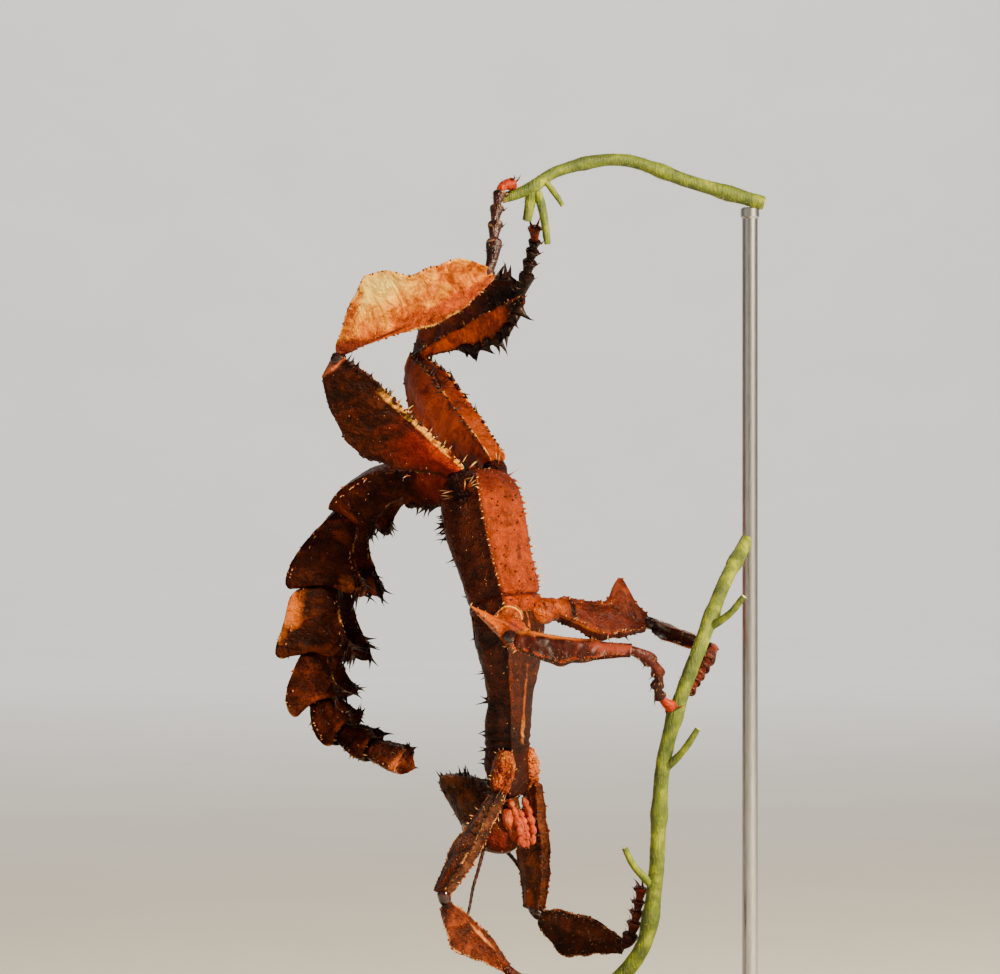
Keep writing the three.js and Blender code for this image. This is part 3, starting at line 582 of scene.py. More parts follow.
def bark_material():
    """Green bark with fine streaks along it, and pale wood where a twig is cut."""
    material, tree, shader = new_material("green_bark")
    place = object_mm(tree)
    patches = noise(tree, place, 0.3, 4, 0.6)
    drawn_out = node(tree, "ShaderNodeMapping", {"Vector": place, "Scale": (3, 3, 0.5)}).outputs["Vector"]
    streaks = noise(tree, drawn_out, 1.2, 5)
    colour = ramp(tree, patches, [
        (0.35, (0.04, 0.065, 0.0)), (0.52, (0.1, 0.14, 0.0)), (0.68, (0.26, 0.3, 0.002)),
    ])
    colour = blend(tree, fade(tree, streaks, 0.56, 0.7), colour, (0.13, 0.1, 0.025))
    cut = fade(tree, attribute(tree, "rim"), 0.4, 0.7)
    colour = blend(tree, cut, colour, (0.62, 0.55, 0.34))
    tree.links.new(colour, shader.inputs["Base Color"])
    shader.inputs["Roughness"].default_value = 0.62
    bump_into(tree, shader, streaks, 0.8, RELIEF_DEPTH)
    return material


def thorn_material(name, foot, tip, turn):
    """One tone at the foot and another at the tip, some thorns darker than others."""
    material, tree, shader = new_material(name)
    along = attribute(tree, "along")
    tone = attribute(tree, "tone")
    colour = blend(tree, fade(tree, along, *turn), foot, tip)
    colour = blend(tree, times(tree, tone, 0.5), colour, (0.03, 0.007, 0.003))
    tree.links.new(colour, shader.inputs["Base Color"])
    shader.inputs["Roughness"].default_value = 0.42
    shader.inputs["Specular IOR Level"].default_value = 0.2
    return material


def plain_material(name, stops, scale, roughness, metallic=0.0, stretch=(1, 1, 1), depth=0.0):
    """Wood, steel or floor in a fine grain of near tones."""
    material, tree, shader = new_material(name)
    place = node(tree, "ShaderNodeMapping", {"Vector": object_mm(tree), "Scale": stretch}).outputs["Vector"]
    grain = noise(tree, place, scale, 6, 0.6, 0.5)
    tree.links.new(ramp(tree, grain, stops), shader.inputs["Base Color"])
    shader.inputs["Roughness"].default_value = roughness
    shader.inputs["Metallic"].default_value = metallic
    if depth:
        bump_into(tree, shader, grain, 0.6, depth)
    return material


def eye_material():
    """A dark glossy eye with fine facets and pale mottling."""
    material, tree, shader = new_material("eye")
    place = object_mm(tree)
    patches = noise(tree, place, 1.4, 3, 0.5)
    colour = ramp(tree, patches, [
        (0.4, (0.06, 0.03, 0.02)), (0.55, (0.3, 0.17, 0.1)), (0.68, (0.5, 0.36, 0.24)),
    ])
    tree.links.new(colour, shader.inputs["Base Color"])
    shader.inputs["Roughness"].default_value = 0.14
    shader.inputs["Coat Weight"].default_value = 0.5
    shader.inputs["Coat Roughness"].default_value = 0.05
    facets = node(tree, "ShaderNodeTexVoronoi", {"Vector": place, "Scale": 12.0}).outputs["Distance"]
    bump_into(tree, shader, facets, 0.3, 0.00005)
    return material


# Tones that several finishes share, darkest first.
DEEP = (0.012, 0.003, 0.0015)
BROWN = (0.038, 0.008, 0.003)
UMBER = (0.085, 0.014, 0.003)
RUST = (0.2, 0.024, 0.002)
ORANGE = (0.48, 0.052, 0.001)
AMBER = (0.7, 0.13, 0.002)
SALMON = (0.46, 0.055, 0.006)
CREAM = (0.85, 0.36, 0.05)
KNEE = (0.018, 0.004, 0.003)
WINE = (0.05, 0.009, 0.009)

# the tail's dark tones are partly painted shade, and its cream edges are painted highlights on the lit ridges
TAIL_LOOK = dict(
    tones=((0.014, 0.002, 0.0005), (0.034, 0.005, 0.001), (0.1, 0.013, 0.001)), edge=CREAM,
    edge_at=(0.9, 1.25), bands=0.5, wrinkles=0.8, gloss=0.7, veil=0.05,
)
# Each spot of painted light, of painted shade or of the shell's own marking is (along, outer, reach, stretch,
# colour).
SHELLS = {
    # metathorax: the orange belly face against the dark flanks is partly its own colour and partly painted
    # sunlight and painted shade; the first spot is a painted shadow of the hind femur over the rear end, the
    # second a dark suture
    "thorax": dict(
        tones=(DEEP, (0.08, 0.011, 0.003), (0.12, 0.018, 0.003)), edge=ORANGE, inner=(0.26, 0.031, 0.0),
        edge_at=(0.85, 1.25), bands=0.4, wrinkles=0.9, relief=1.5, gloss=0.9,
        painted_light_and_marks=[(1.0, 0.12, 0.3, 0.8, (0.11, 0.01, 0.001)), (0.127, 0.3, 0.7, 0.022, (0.08, 0.006, 0.0))],
    ),
    # mesothorax: the first spot is a painted glint on the front folds, the second a painted highlight along
    # the middle keel of the belly
    "mesothorax": dict(
        tones=(DEEP, (0.04, 0.008, 0.0025), (0.11, 0.015, 0.003)), edge=AMBER, inner=(0.042, 0.0065, 0.0012),
        edge_at=(0.9, 1.3), bands=0.5, wrinkles=1.0, gloss=0.7,
        painted_light_and_marks=[(0.14, 0.0, 0.055, 2.6, (0.75, 0.24, 0.045)), (0.35, 0.0, 0.03, 9.0, (0.3, 0.053, 0.005)),
              (0.5, 0.3, 0.08, 4.0, (0.1, 0.012, 0.002))],
    ),
    # prothorax: the dark belly between the fore coxae is painted shade
    "prothorax": dict(
        tones=(DEEP, (0.035, 0.007, 0.002), UMBER), edge=UMBER, inner=(0.03, 0.005, 0.002), gloss=0.7,
    ),
    "tail": dict(
        **TAIL_LOOK,
        painted_light_and_marks=[(0.9, 0.6, 0.12, 0.7, (0.15, 0.022, 0.003))],
    ),
    "lit_tail": dict(
        tones=((0.01, 0.002, 0.0005), (0.024, 0.004, 0.001), (0.08, 0.012, 0.001)), edge=CREAM,
        edge_at=(0.85, 1.2), bands=0.5, wrinkles=0.8, gloss=0.7, veil=0.05,
        painted_light_and_marks=[(0.4, 0.36, 0.09, 5.0, (0.7, 0.15, 0.012)), (0.72, 0.25, 0.1, 3.0, (0.5, 0.1, 0.01)),
              (0.9, 0.62, 0.16, 0.8, UMBER)],
    ),
    # abdomen_4: the spot is a painted patch of sunlight near the crest
    "lit_crest_tail": dict(
        **TAIL_LOOK,
        painted_light_and_marks=[(0.86, 0.78, 0.15, 1.3, (0.4, 0.085, 0.014))],
    ),
    "root_tail": dict(
        **TAIL_LOOK,
        painted_light_and_marks=[(0.35, 0.5, 0.4, 1.0, (0.15, 0.011, 0.001))],
    ),
    "tail_tip": dict(
        tones=((0.012, 0.003, 0.002), (0.06, 0.009, 0.002), (0.2, 0.028, 0.004)), edge=CREAM,
        edge_at=(0.9, 1.25), bands=0.5, wrinkles=0.8, gloss=0.7,
        painted_light_and_marks=[(0.95, 0.4, 0.35, 0.7, (0.5, 0.1, 0.02))],
    ),
    "head": dict(
        tones=((0.02, 0.005, 0.002), (0.075, 0.019, 0.004), (0.17, 0.036, 0.006)), edge=UMBER, gloss=0.7,
        painted_light_and_marks=[(0.15, 0.3, 0.3, 1.0, (0.11, 0.008, 0.002))],
    ),
    # near hind femur: its very dark tones are painted shade, its cream keel on the hip half a painted
    # highlight on the lit ridge, the first two spots painted light shining through near the hip and the last
    # a painted lit rim at the knee end
    "hind_femur": dict(
        tones=((0.008, 0.002, 0.001), (0.022, 0.004, 0.001), (0.065, 0.009, 0.002)), edge=CREAM, knee=KNEE,
        inner=(0.025, 0.004, 0.001), knee_at=(0.8, 1.1), edge_at=(0.08, 0.4), edge_reach=(0.66, 0.5), bands=0.35,
        wrinkles=0.7, veil=0.06,
        painted_light_and_marks=[(0.12, 0.55, 0.42, 1.0, (0.12, 0.006, 0.001)), (0.0, 0.4, 0.24, 1.6, (0.3, 0.028, 0.001)),
              (0.985, 0.45, 0.75, 0.06, (0.8, 0.17, 0.06))],
    ),
    # far hind femur: its bright tones are painted sunlight, the first spot a painted lit band near the hip
    # and the last a painted lit rim at the knee end
    "lit_far_femur": dict(
        tones=((0.26, 0.025, 0.002), (0.8, 0.085, 0.003), (1.0, 0.13, 0.006)), edge=CREAM, knee=KNEE,
        inner=(0.14, 0.016, 0.001), knee_at=(0.5, 1.1), edge_at=(0.6, 1.0), bands=0.5, wrinkles=0.8,
        painted_light_and_marks=[(0.0, 0.1, 0.3, 1.8, (0.27, 0.042, 0.002)), (0.985, 0.45, 0.75, 0.06, (0.8, 0.17, 0.06))],
    ),
    # near hind tibia: the first two spots are painted sunlit highlights, gold and cream
    "hind_tibia": dict(
        tones=((0.22, 0.024, 0.0), (0.72, 0.17, 0.0), (1.0, 0.4, 0.0)), edge=(1.0, 0.5, 0.06),
        knee=(0.2, 0.028, 0.01), inner=(0.5, 0.07, 0.0), inner_at=(0.62, 0.4), knee_at=(0.26, 0.04),
        bands=0.62, wrinkles=3.4, granules=0.3, gloss=1.0,
        painted_light_and_marks=[(0.46, 0.84, 0.22, 1.5, (1.0, 0.44, 0.02)), (0.42, 0.88, 0.15, 1.3, (1.0, 0.72, 0.12)),
              (0.3, 0.18, 0.09, 2.5, (0.13, 0.014, 0.001))],
    ),
    "far_tibia": dict(
        tones=((0.04, 0.006, 0.002), (0.17, 0.022, 0.005), (0.36, 0.05, 0.008)), edge=DEEP, knee=KNEE,
        inner=(0.8, 0.1, 0.004), inner_at=(0.47, 0.38), knee_at=(0.25, 0.03), bands=0.6, wrinkles=1.4,
        gloss=0.8,
        painted_light_and_marks=[(0.95, 0.65, 0.4, 1.0, DEEP), (1.0, 0.2, 0.3, 0.7, DEEP)],
    ),
    "mid_femur": dict(
        tones=((0.04, 0.006, 0.002), (0.1, 0.012, 0.002), (0.2, 0.03, 0.003)), edge=RUST, knee=KNEE,
        inner=(0.085, 0.009, 0.002), inner_at=(0.6, 0.5), knee_at=(0.93, 1.0), bands=0.4, wrinkles=0.8,
        gloss=0.7,
        painted_light_and_marks=[(0.5, 0.02, 0.1, 7.0, (0.7, 0.14, 0.01)), (0.0, 0.5, 0.8, 0.17, (0.34, 0.055, 0.001)),
              (0.16, 0.5, 0.7, 0.05, DEEP)],
    ),
    # near mid femur: a sunlit copy of the mid femur, its bright orange tones and the highlight on its lobe
    # painted sunlight
    "lit_horn_femur": dict(
        tones=(UMBER, RUST, ORANGE), edge=(0.6, 0.12, 0.0), knee=KNEE, knee_at=(0.93, 1.0),
        edge_at=(0.3, 0.8), bands=0.3, wrinkles=0.8, gloss=0.9,
        painted_light_and_marks=[(0.76, 0.95, 0.45, 1.0, (0.56, 0.1, 0.0))],
    ),
    # near mid tibia: the second spot is a painted highlight along the upper edge
    "mid_tibia": dict(
        tones=((0.012, 0.002, 0.001), (0.036, 0.004, 0.002), (0.1, 0.01, 0.003)), edge=RUST, knee=KNEE,
        knee_at=(0.14, 0.0), granules=0.0, relief=0.14, gloss=0.8, veil=0.25,
        painted_light_and_marks=[(0.9, 0.6, 0.3, 1.0, (0.2, 0.03, 0.014)), (0.36, 0.92, 0.36, 1.2, (0.42, 0.09, 0.008)),
              (0.25, 0.05, 0.4, 1.1, (0.008, 0.002, 0.001))],
    ),
    "fore_femur": dict(
        tones=(DEEP, (0.11, 0.024, 0.006), (0.25, 0.055, 0.012)), edge=RUST, knee=KNEE, knee_at=(0.97, 1.04),
        bands=0.3, wrinkles=0.6, granules=0.9,
        painted_light_and_marks=[(0.93, 0.5, 0.16, 1.0, (0.34, 0.05, 0.006))],
    ),
    "lit_femur": dict(
        tones=(DEEP, (0.075, 0.02, 0.007), (0.2, 0.06, 0.019)), edge=(0.6, 0.24, 0.07), knee=KNEE,
        knee_at=(0.97, 1.04), bands=0.4, wrinkles=0.6, granules=0.9,
        painted_light_and_marks=[(0.85, 0.5, 0.2, 1.0, (0.1, 0.016, 0.004))],
    ),
    "fore_tibia": dict(
        tones=(DEEP, (0.05, 0.01, 0.003), (0.11, 0.018, 0.004)), edge=(0.5, 0.13, 0.05), knee=KNEE,
        knee_at=(0.14, 0.0), bands=0.4, wrinkles=1.4,
    ),
    "lit_tibia": dict(
        tones=(BROWN, (0.13, 0.02, 0.004), (0.34, 0.06, 0.01)), edge=(0.7, 0.3, 0.1), knee=KNEE,
        knee_at=(0.3, 0.08), bands=0.5, wrinkles=1.4,
        painted_light_and_marks=[(0.6, 0.3, 0.16, 1.6, (0.8, 0.26, 0.07))],
    ),
    "coxa": dict(
        tones=(UMBER, (0.34, 0.05, 0.001), (0.6, 0.12, 0.006)), edge=CREAM, edge_at=(0.4, 0.9), bands=0.7,
        gloss=0.9,
    ),
    # near mid coxa: the cream and orange bands are painted highlights on its lit folds
    "near_coxa": dict(
        tones=(UMBER, (0.36, 0.055, 0.002), (0.6, 0.13, 0.01)), edge=CREAM, edge_at=(0.4, 0.9), bands=0.4,
        gloss=1.0,
        painted_light_and_marks=[(0.34, 0.5, 0.9, 0.13, (1.0, 0.66, 0.13)), (0.14, 0.5, 0.9, 0.05, (0.04, 0.006, 0.007)),
              (0.56, 0.5, 0.9, 0.045, (0.07, 0.008, 0.007)), (0.7, 0.5, 0.9, 0.07, (1.0, 0.4, 0.05))],
    ),
    "fore_coxa": dict(
        tones=((0.12, 0.014, 0.002), (0.55, 0.09, 0.012), (0.8, 0.22, 0.05)), edge=CREAM, edge_at=(0.4, 0.9),
        bands=0.4, granules=1.6, relief=2.4, gloss=0.9,
    ),
    "hip": dict(
        tones=((0.006, 0.002, 0.002), (0.016, 0.003, 0.002), (0.06, 0.009, 0.002)), edge=RUST,
        edge_at=(0.4, 0.9), bands=0.5, relief=2.0, gloss=0.8, veil=0.06,
    ),
    "wing": dict(
        tones=(BROWN, UMBER, RUST), edge=CREAM, gloss=0.5,
    ),
    "foot": dict(
        tones=((0.014, 0.003, 0.003), (0.035, 0.007, 0.006), (0.1, 0.022, 0.014)), edge=(0.42, 0.2, 0.12),
        granules=0.2, gloss=1.0, veil=0.4,
    ),
    "fore_foot": dict(
        tones=((0.014, 0.003, 0.003), (0.05, 0.008, 0.005), (0.13, 0.02, 0.01)), edge=(0.2, 0.05, 0.02),
        granules=0.2, gloss=0.9, veil=0.15,
    ),
    # far hind foot: a darker copy of the foot, painted shade
    "shaded_far_foot": dict(
        tones=((0.006, 0.003, 0.003), (0.01, 0.004, 0.003), DEEP), edge=WINE, granules=0.2, gloss=0.9,
    ),
    "pad": dict(
        tones=((0.12, 0.008, 0.002), (0.3, 0.022, 0.003), (0.44, 0.05, 0.008)), edge=SALMON, granules=0.2,
        gloss=1.0,
    ),
    # foot ends of the far-side legs: a darker copy of the pad, painted shade
    "shaded_far_pad": dict(
        tones=((0.03, 0.004, 0.002), (0.1, 0.01, 0.003), (0.24, 0.02, 0.004)), edge=UMBER, granules=0.2,
        gloss=1.0,
    ),
    "mouth": dict(
        tones=((0.2, 0.018, 0.006), (0.4, 0.052, 0.016), (0.6, 0.12, 0.04)), edge=ORANGE, granules=0.3,
        gloss=1.0,
    ),
    "knee": dict(
        tones=((0.008, 0.003, 0.002), KNEE, WINE), edge=KNEE, granules=0.1, relief=0.4, gloss=1.4, veil=0.6,
    ),
    "claw": dict(
        tones=((0.03, 0.005, 0.003), (0.1, 0.014, 0.005), RUST), edge=DEEP, granules=0.0, gloss=1.3,
    ),
    "feeler": dict(
        tones=((0.006, 0.003, 0.003), (0.014, 0.005, 0.003), WINE), edge=DEEP, granules=0.2, gloss=0.9,
    ),
}
finish = {name: cuticle(name, **look) for name, look in SHELLS.items()}
finish.update({
    "eye": eye_material(),
    "bark": bark_material(),
    "pale_thorn": thorn_material("pale_thorn", RUST, (0.95, 0.56, 0.2), (0.15, 0.6)),
    "dark_thorn": thorn_material("dark_thorn", (0.02, 0.005, 0.002), (0.004, 0.0015, 0.001), (0.1, 0.5)),
    "hair": thorn_material("hair", RUST, (0.8, 0.46, 0.2), (0.0, 0.4)),
    "twig_hair": thorn_material("twig_hair", (0.3, 0.34, 0.06), (0.62, 0.62, 0.2), (0.0, 0.5)),
    "wood": plain_material(
        "stained_wood", [(0.3, (0.05, 0.022, 0.01)), (0.5, (0.1, 0.045, 0.02)), (0.7, (0.17, 0.08, 0.035))],
        0.35, 0.38, stretch=(0.12, 1, 1), depth=0.0002),
    "steel": plain_material(
        "brushed_steel", [(0.3, (0.42, 0.42, 0.43)), (0.7, (0.6, 0.6, 0.61))],
        3.0, 0.3, metallic=1.0, stretch=(1, 1, 0.1), depth=0.00003),
    "floor": plain_material("pale_floor", [(0.3, (0.78, 0.76, 0.73)), (0.7, (0.82, 0.8, 0.77))], 0.01, 0.9),
})

# ---------- thorns, granules and hairs ----------


def seedling(name, sides, rings):
    """One thorn or hair of length 1 along +X, from rings of (x, radius, lift)."""
    piece = disc_across(name, sides)
    bpy.ops.object.mode_set(mode="EDIT")
    x, size, lift = rings[0]
    bpy.ops.transform.resize(value=(1, size, size))
    bpy.ops.transform.translate(value=(x, 0, lift))
    for (x0, size0, lift0), (x1, size1, lift1) in zip(rings, rings[1:]):
        bpy.ops.mesh.extrude_region_move(TRANSFORM_OT_translate={"value": (x1 - x0, 0, lift1 - lift0)})
        bpy.ops.transform.resize(value=(1, size1 / size0, size1 / size0), center_override=(x1, 0, lift1))
    face_outwards()
    bpy.ops.mesh.quads_convert_to_tris()
    bpy.ops.object.mode_set(mode="OBJECT")
    coords = coords_of(piece)
    faces = np.array([face.vertices[:] for face in piece.data.polygons])
    bpy.data.objects.remove(piece)
    return coords, faces


THORN = seedling(
    "thorn", 6, [(-0.15, 1.25, 0), (0.08, 0.8, 0), (0.4, 0.42, 0.12), (0.75, 0.2, 0.45), (1, 0.03, 1.0)])
HAIR = seedling("hair", 3, [(-0.05, 1, 0), (0.5, 0.7, 0.8), (1, 0.1, 3.0)])
# The map of roots is a grid of tiles, one for each part, and TUFT is half the width of a root's patch.
TILES = 7
TILE_MARGIN = 0.05
TUFT = 0.0015


class Patch:
    """Thorns or hairs that grow from the body's parts, kept until they are planted as one mesh."""

    def __init__(self):
        self.rows = []

    def add(self, root, direction, length, width, spot):
        """spot is the root's place on the map of roots, as (tile, across, up)."""
        self.rows.append((tuple(root), tuple(direction), length, width, *spot, rng.random()))

    def plant(self, name, shape, material, slot):
        """One joined mesh of all the patch, with a map that holds each root's place on its part."""
        coords, faces = shape
        columns = (np.array(column, float) for column in zip(*self.rows))
        roots, x, length, width, tile, across, up, chance = columns
        x /= np.linalg.norm(x, axis=1)[:, None]
        spin = chance * 2 * math.pi
        away = np.where(np.abs(x[:, 2:3]) < 0.9, np.array([[0, 0, 1.0]]), np.array([[1.0, 0, 0]]))
        y = np.cross(away, x)
        y /= np.linalg.norm(y, axis=1)[:, None]
        z = np.cross(x, y)
        y, z = (y * np.cos(spin)[:, None] + z * np.sin(spin)[:, None],
                z * np.cos(spin)[:, None] - y * np.sin(spin)[:, None])
        wide = width[:, None, None]
        points = (roots[:, None] + x[:, None] * coords[None, :, 0:1] * length[:, None, None]
                  + y[:, None] * coords[None, :, 1:2] * wide + z[:, None] * coords[None, :, 2:3] * wide)
        count = len(self.rows)
        corners = (faces[None] + np.arange(count)[:, None, None] * len(coords)).reshape(-1, 3)
        mesh = bpy.data.meshes.new(name)
        mesh.from_pydata((points.reshape(-1, 3) * MM).tolist(), [], corners.tolist())
        piece = bpy.data.objects.new(name, mesh)
        bpy.context.collection.objects.link(piece)
        keep(mesh, "along", np.tile(coords[:, 0], count))
        keep(mesh, "tone", np.repeat(chance, len(coords)))
        unwrap = mesh.uv_layers.new(name="OFBake")
        inside = 1 - 2 * TILE_MARGIN
        root_u = (tile % TILES + TILE_MARGIN + inside * across) / TILES
        root_v = (tile // TILES + TILE_MARGIN + inside * up) / TILES
        spread = coords[:, :2] * TUFT
        u = (root_u[:, None] + spread[None, :, 0]).ravel()[corners.ravel()]
        v = (root_v[:, None] + spread[None, :, 1] * 0.8).ravel()[corners.ravel()]
        unwrap.data.foreach_set("uv", np.stack([u, v], 1).astype(np.float32).ravel())
        mesh.materials.append(material)
        shade_smooth(mesh)
        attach(piece, "root")


pale, dark, hairs, down = Patch(), Patch(), Patch(), Patch()
part_numbers = {}


def part_number(name):
    """The tile of a part on the map of roots."""
    return part_numbers.setdefault(name, len(part_numbers))


def faces_of(piece):
    """Centres in millimetres, normals and areas of a part's faces, and where each lies on the part.

    Extruding can number the faces in another order from run to run, so they are put in order of place.
    """
    data = piece.data
    number = len(data.polygons)
    centres, normals, areas = np.empty(number * 3), np.empty(number * 3), np.empty(number)
    data.polygons.foreach_get("center", centres)
    data.polygons.foreach_get("normal", normals)
    data.polygons.foreach_get("area", areas)
    first = np.empty(number, np.int32)
    data.polygons.foreach_get("loop_start", first)
    loops = np.empty(len(data.loops), np.int32)
    data.loops.foreach_get("vertex_index", loops)
    values = {}
    for name in ("along", "outer", "rim", "side"):
        layer = np.empty(len(data.vertices), np.float32)
        data.attributes[name].data.foreach_get("value", layer)
        values[name] = layer[loops[first]]
    centres = centres.reshape(-1, 3) / MM
    order = np.lexsort(np.round(centres, 1).T)
    values = {name: layer[order] for name, layer in values.items()}
    return centres[order], normals.reshape(-1, 3)[order], areas[order], values


def strewn(direction, reach):
    """The direction, turned at random by up to the reach on each axis."""
    return direction + Vector([rng.uniform(-reach, reach) for _ in range(3)])


def scatter(patch, piece, count, length, width, lean=(0, 0, 0), where=None):
    """Plants small ones all over a finished part, most where the test gives most."""
    centres, normals, areas, values = faces_of(piece)
    if where is not None:
        areas = areas * where(values)
    run = np.cumsum(areas)
    tile = part_number(piece.name)
    for _ in range(count):
        face = min(int(np.searchsorted(run, rng.random() * run[-1])), len(areas) - 1)
        direction = strewn(Vector(normals[face]) + Vector(lean), 0.3)
        size = rng.uniform(0.6, 1.3)
        patch.add(centres[face], direction, length * size, width * (0.6 + 0.4 * size),
                  (tile, values["along"][face], values["outer"][face] * 0.5))


def on_edge(rim, along, outer=(-1, 2), side=0):
    """A test for faces on a keel: a rim above this, between two places each way, and on one side if given."""
    def test(v):
        found = (v["rim"] > rim) & (v["along"] > along[0]) & (v["along"] < along[1])
        found &= (v["outer"] > outer[0]) & (v["outer"] < outer[1])
        return found & (v["side"] * side > 0) if side else found
    return test


def teeth(patch, piece, count, length, where, lean=(0, 0, 0), width=0.0, sizes=(0.45, 0.65, 0.8, 1.0, 1.4)):
    """A row of thorns along an edge of a finished part, evenly spaced where the test holds."""
    centres, normals, _, values = faces_of(piece)
    found = np.flatnonzero(where(values))
    if not len(found):
        raise RuntimeError(f"no edge found on {piece.name}")
    found = found[np.argsort(values["along"][found], kind="stable")]
    places = values["along"][found]
    tile = part_number(piece.name)
    for step in range(count):
        at = places[0] + (step + rng.uniform(0.1, 0.9)) / count * (places[-1] - places[0])
        face = found[min(int(np.searchsorted(places, at)), len(found) - 1)]
        direction = strewn(Vector(normals[face]) + Vector(lean), 0.25)
        tall = length * rng.choice(sizes)
        patch.add(centres[face], direction, tall, width or 0.13 + 0.12 * tall,
                  (tile, values["along"][face], 0.5 + 0.4 * values["outer"][face]))


# ---------- limbs ----------


def outline_at(outline, part):
    for (a, ha), (b, hb) in zip(outline, outline[1:]):
        if part <= b:
            share = max(0.0, (part - a) / (b - a))
            return ha + (hb - ha) * share * share * (3 - 2 * share)
    return outline[-1][1]


# Edge outlines of a limb: (part of the length, height over the limb's middle line).
HIND_FEMUR = {
    "outer": [
        (0, 1.7), (0.1, 2.8), (0.28, 6), (0.48, 8.2), (0.58, 8.6), (0.7, 7.6), (0.84, 6), (0.92, 4.6),
        (0.965, 3.4), (1, 2.9),
    ],
    "inner": [(0, 1.5), (0.1, 1.9), (0.4, 2.4), (0.8, 2.8), (0.9, 2.4), (0.95, 1.8), (1, 2.3)],
    "side": 2.5,
}
HIND_TIBIA = {
    "outer": [
        (0, 1.3), (0.05, 2.4), (0.12, 5.0), (0.2, 7.2), (0.33, 10.0), (0.42, 9.8), (0.56, 6.4), (0.66, 6.2),
        (0.86, 5.3), (0.94, 3.2), (1, 1.3),
    ],
    "inner": [(0, 1.2), (0.14, 1), (0.35, 2.2), (0.62, 4.4), (0.8, 3.8), (0.92, 2), (1, 1.2)],
    "side": 1.25,
}
MID_FEMUR = {
    "outer": [
        (0, 1.4), (0.12, 2.6), (0.3, 2.2), (0.55, 2.6), (0.74, 7.9), (0.84, 4.4), (0.93, 2.2), (1, 1.7),
    ],
    "inner": [(0, 1.3), (0.2, 2.2), (0.5, 3.9), (0.75, 2.8), (1, 1.3)],
    "side": 1.8,
}
MID_TIBIA = {
    "outer": [(0, 1.2), (0.12, 1.4), (0.3, 1.1), (0.6, 1.0), (0.85, 0.8), (1, 0.9)],
    "inner": [(0, 1.3), (0.15, 2.5), (0.4, 3.7), (0.6, 2.7), (0.8, 1.7), (1, 1.1)],
    "side": 1.3,
}
FORE_FEMUR = {
    "outer": [(0, 1.2), (0.2, 1.5), (0.4, 2), (0.55, 3), (0.7, 2.4), (0.9, 1.8), (1, 1.5)],
    "inner": [(0, 1.2), (0.25, 1.4), (0.5, 2.1), (0.75, 2), (1, 1.4)],
    "side": 1.4,
}
FORE_TIBIA = {
    "outer": [(0, 1.1), (0.12, 2.6), (0.36, 5), (0.55, 3.8), (0.75, 2.2), (1, 1)],
    "inner": [(0, 1.1), (0.3, 1.8), (0.6, 2.2), (0.85, 1.5), (1, 1)],
    "side": 1.1,
}

# Half a limb's cross-section from its outer keel to its inner edge, and which places are keels.
THREE_KEELS = [(0, 1), (0.13, 0.8), (0.4, 0.5), (0.8, 0.16), (0.84, -0.35), (1, -1), (0.6, -0.8), (0, -0.66)]
BLADE = [(0, 1), (0.12, 0.76), (0.34, 0.4), (0.72, 0.14), (1, 0), (0.7, -0.2), (0.3, -0.55), (0, -1)]
ROUND = [(math.sin(a * math.pi / 6), math.cos(a * math.pi / 6)) for a in range(7)]

# For each pair of legs: its limbs, how big its thorns are and those of its tibiae besides, its knee's
# radius, how stout its feet are, the ripples of its tibiae in millimetres and the finish of its coxae.
LIMBS = {
    "hind": {"femur": HIND_FEMUR, "tibia": HIND_TIBIA, "thorns": 1.0, "shin_teeth": 1.0,
             "knee": 1.5, "foot": 1.4, "ripples": 0.2, "coxa": "hip"},
    "mid": {"femur": MID_FEMUR, "tibia": MID_TIBIA, "thorns": 0.7, "shin_teeth": 0.25,
            "knee": 1.25, "foot": 1.75, "ripples": 0.05, "coxa": "coxa"},
    "fore": {"femur": FORE_FEMUR, "tibia": FORE_TIBIA, "thorns": 0.7, "shin_teeth": 1.0,
             "knee": 1.25, "foot": 1.75, "ripples": 0.2, "coxa": "fore_coxa"},
}


def outer_side(start, end, other, roll):
    """Away from the far end of the other limb piece, across this one."""
    along = (end - start).normalized()
    side = other - start
    side = -(side - along * side.dot(along)).normalized()
    return Matrix.Rotation(math.radians(roll), 3, along) @ side


LIMB_STATIONS = 17
# Smoothing draws an edge in by this much, so the rings are made larger.
DRAWN_IN = 1.06


def limb(name, start, end, outer, shape, flexor, section, keels, material, before, beyond, ripples):
    """A femur or tibia, reaching a little before its start and beyond its end into its joints."""
    length = (end - start).length
    rings = []
    for count in range(LIMB_STATIONS):
        part = count / (LIMB_STATIONS - 1)
        # both edges wave a little between the joints
        wave = 1 + 0.05 * math.sin(part * 37 + len(name)) if 0.1 < part < 0.92 else 1
        full = math.sin(math.pi * (0.15 + 0.7 * part))
        wide = shape["side"] * (0.6 + 0.4 * full)
        top = outline_at(shape["outer"], part) * wave * DRAWN_IN
        low = outline_at(shape["inner"], part) * flexor * (2 - wave) * DRAWN_IN
        rings.append((-before + part * (length + before + beyond), wide, top, low))
    piece = ring_stack(name, section, rings, keels)
    smooth_out(piece, 3, ((4.0, 0.55), (1.2, ripples)))
    mark(piece, 0, length)
    place = basis(start, end - start, outer)
    return settle(piece, material, [name], place)


def egg(name, start, end, radius, rings, material, nodes=()):
    """A round joint piece with folds, from start to end."""
    length = (end - start).length
    piece = ring_stack(name, ROUND, round_rings([(part * length, size) for part, size in rings], radius))
    smooth_out(piece, 2, ((1.6, 0.25), (0.6, 0.1)))
    mark(piece, 0, length)
    outer = UP if abs((end - start).normalized().z) < 0.9 else BACK
    return settle(piece, material, nodes, basis(start, end - start, outer))


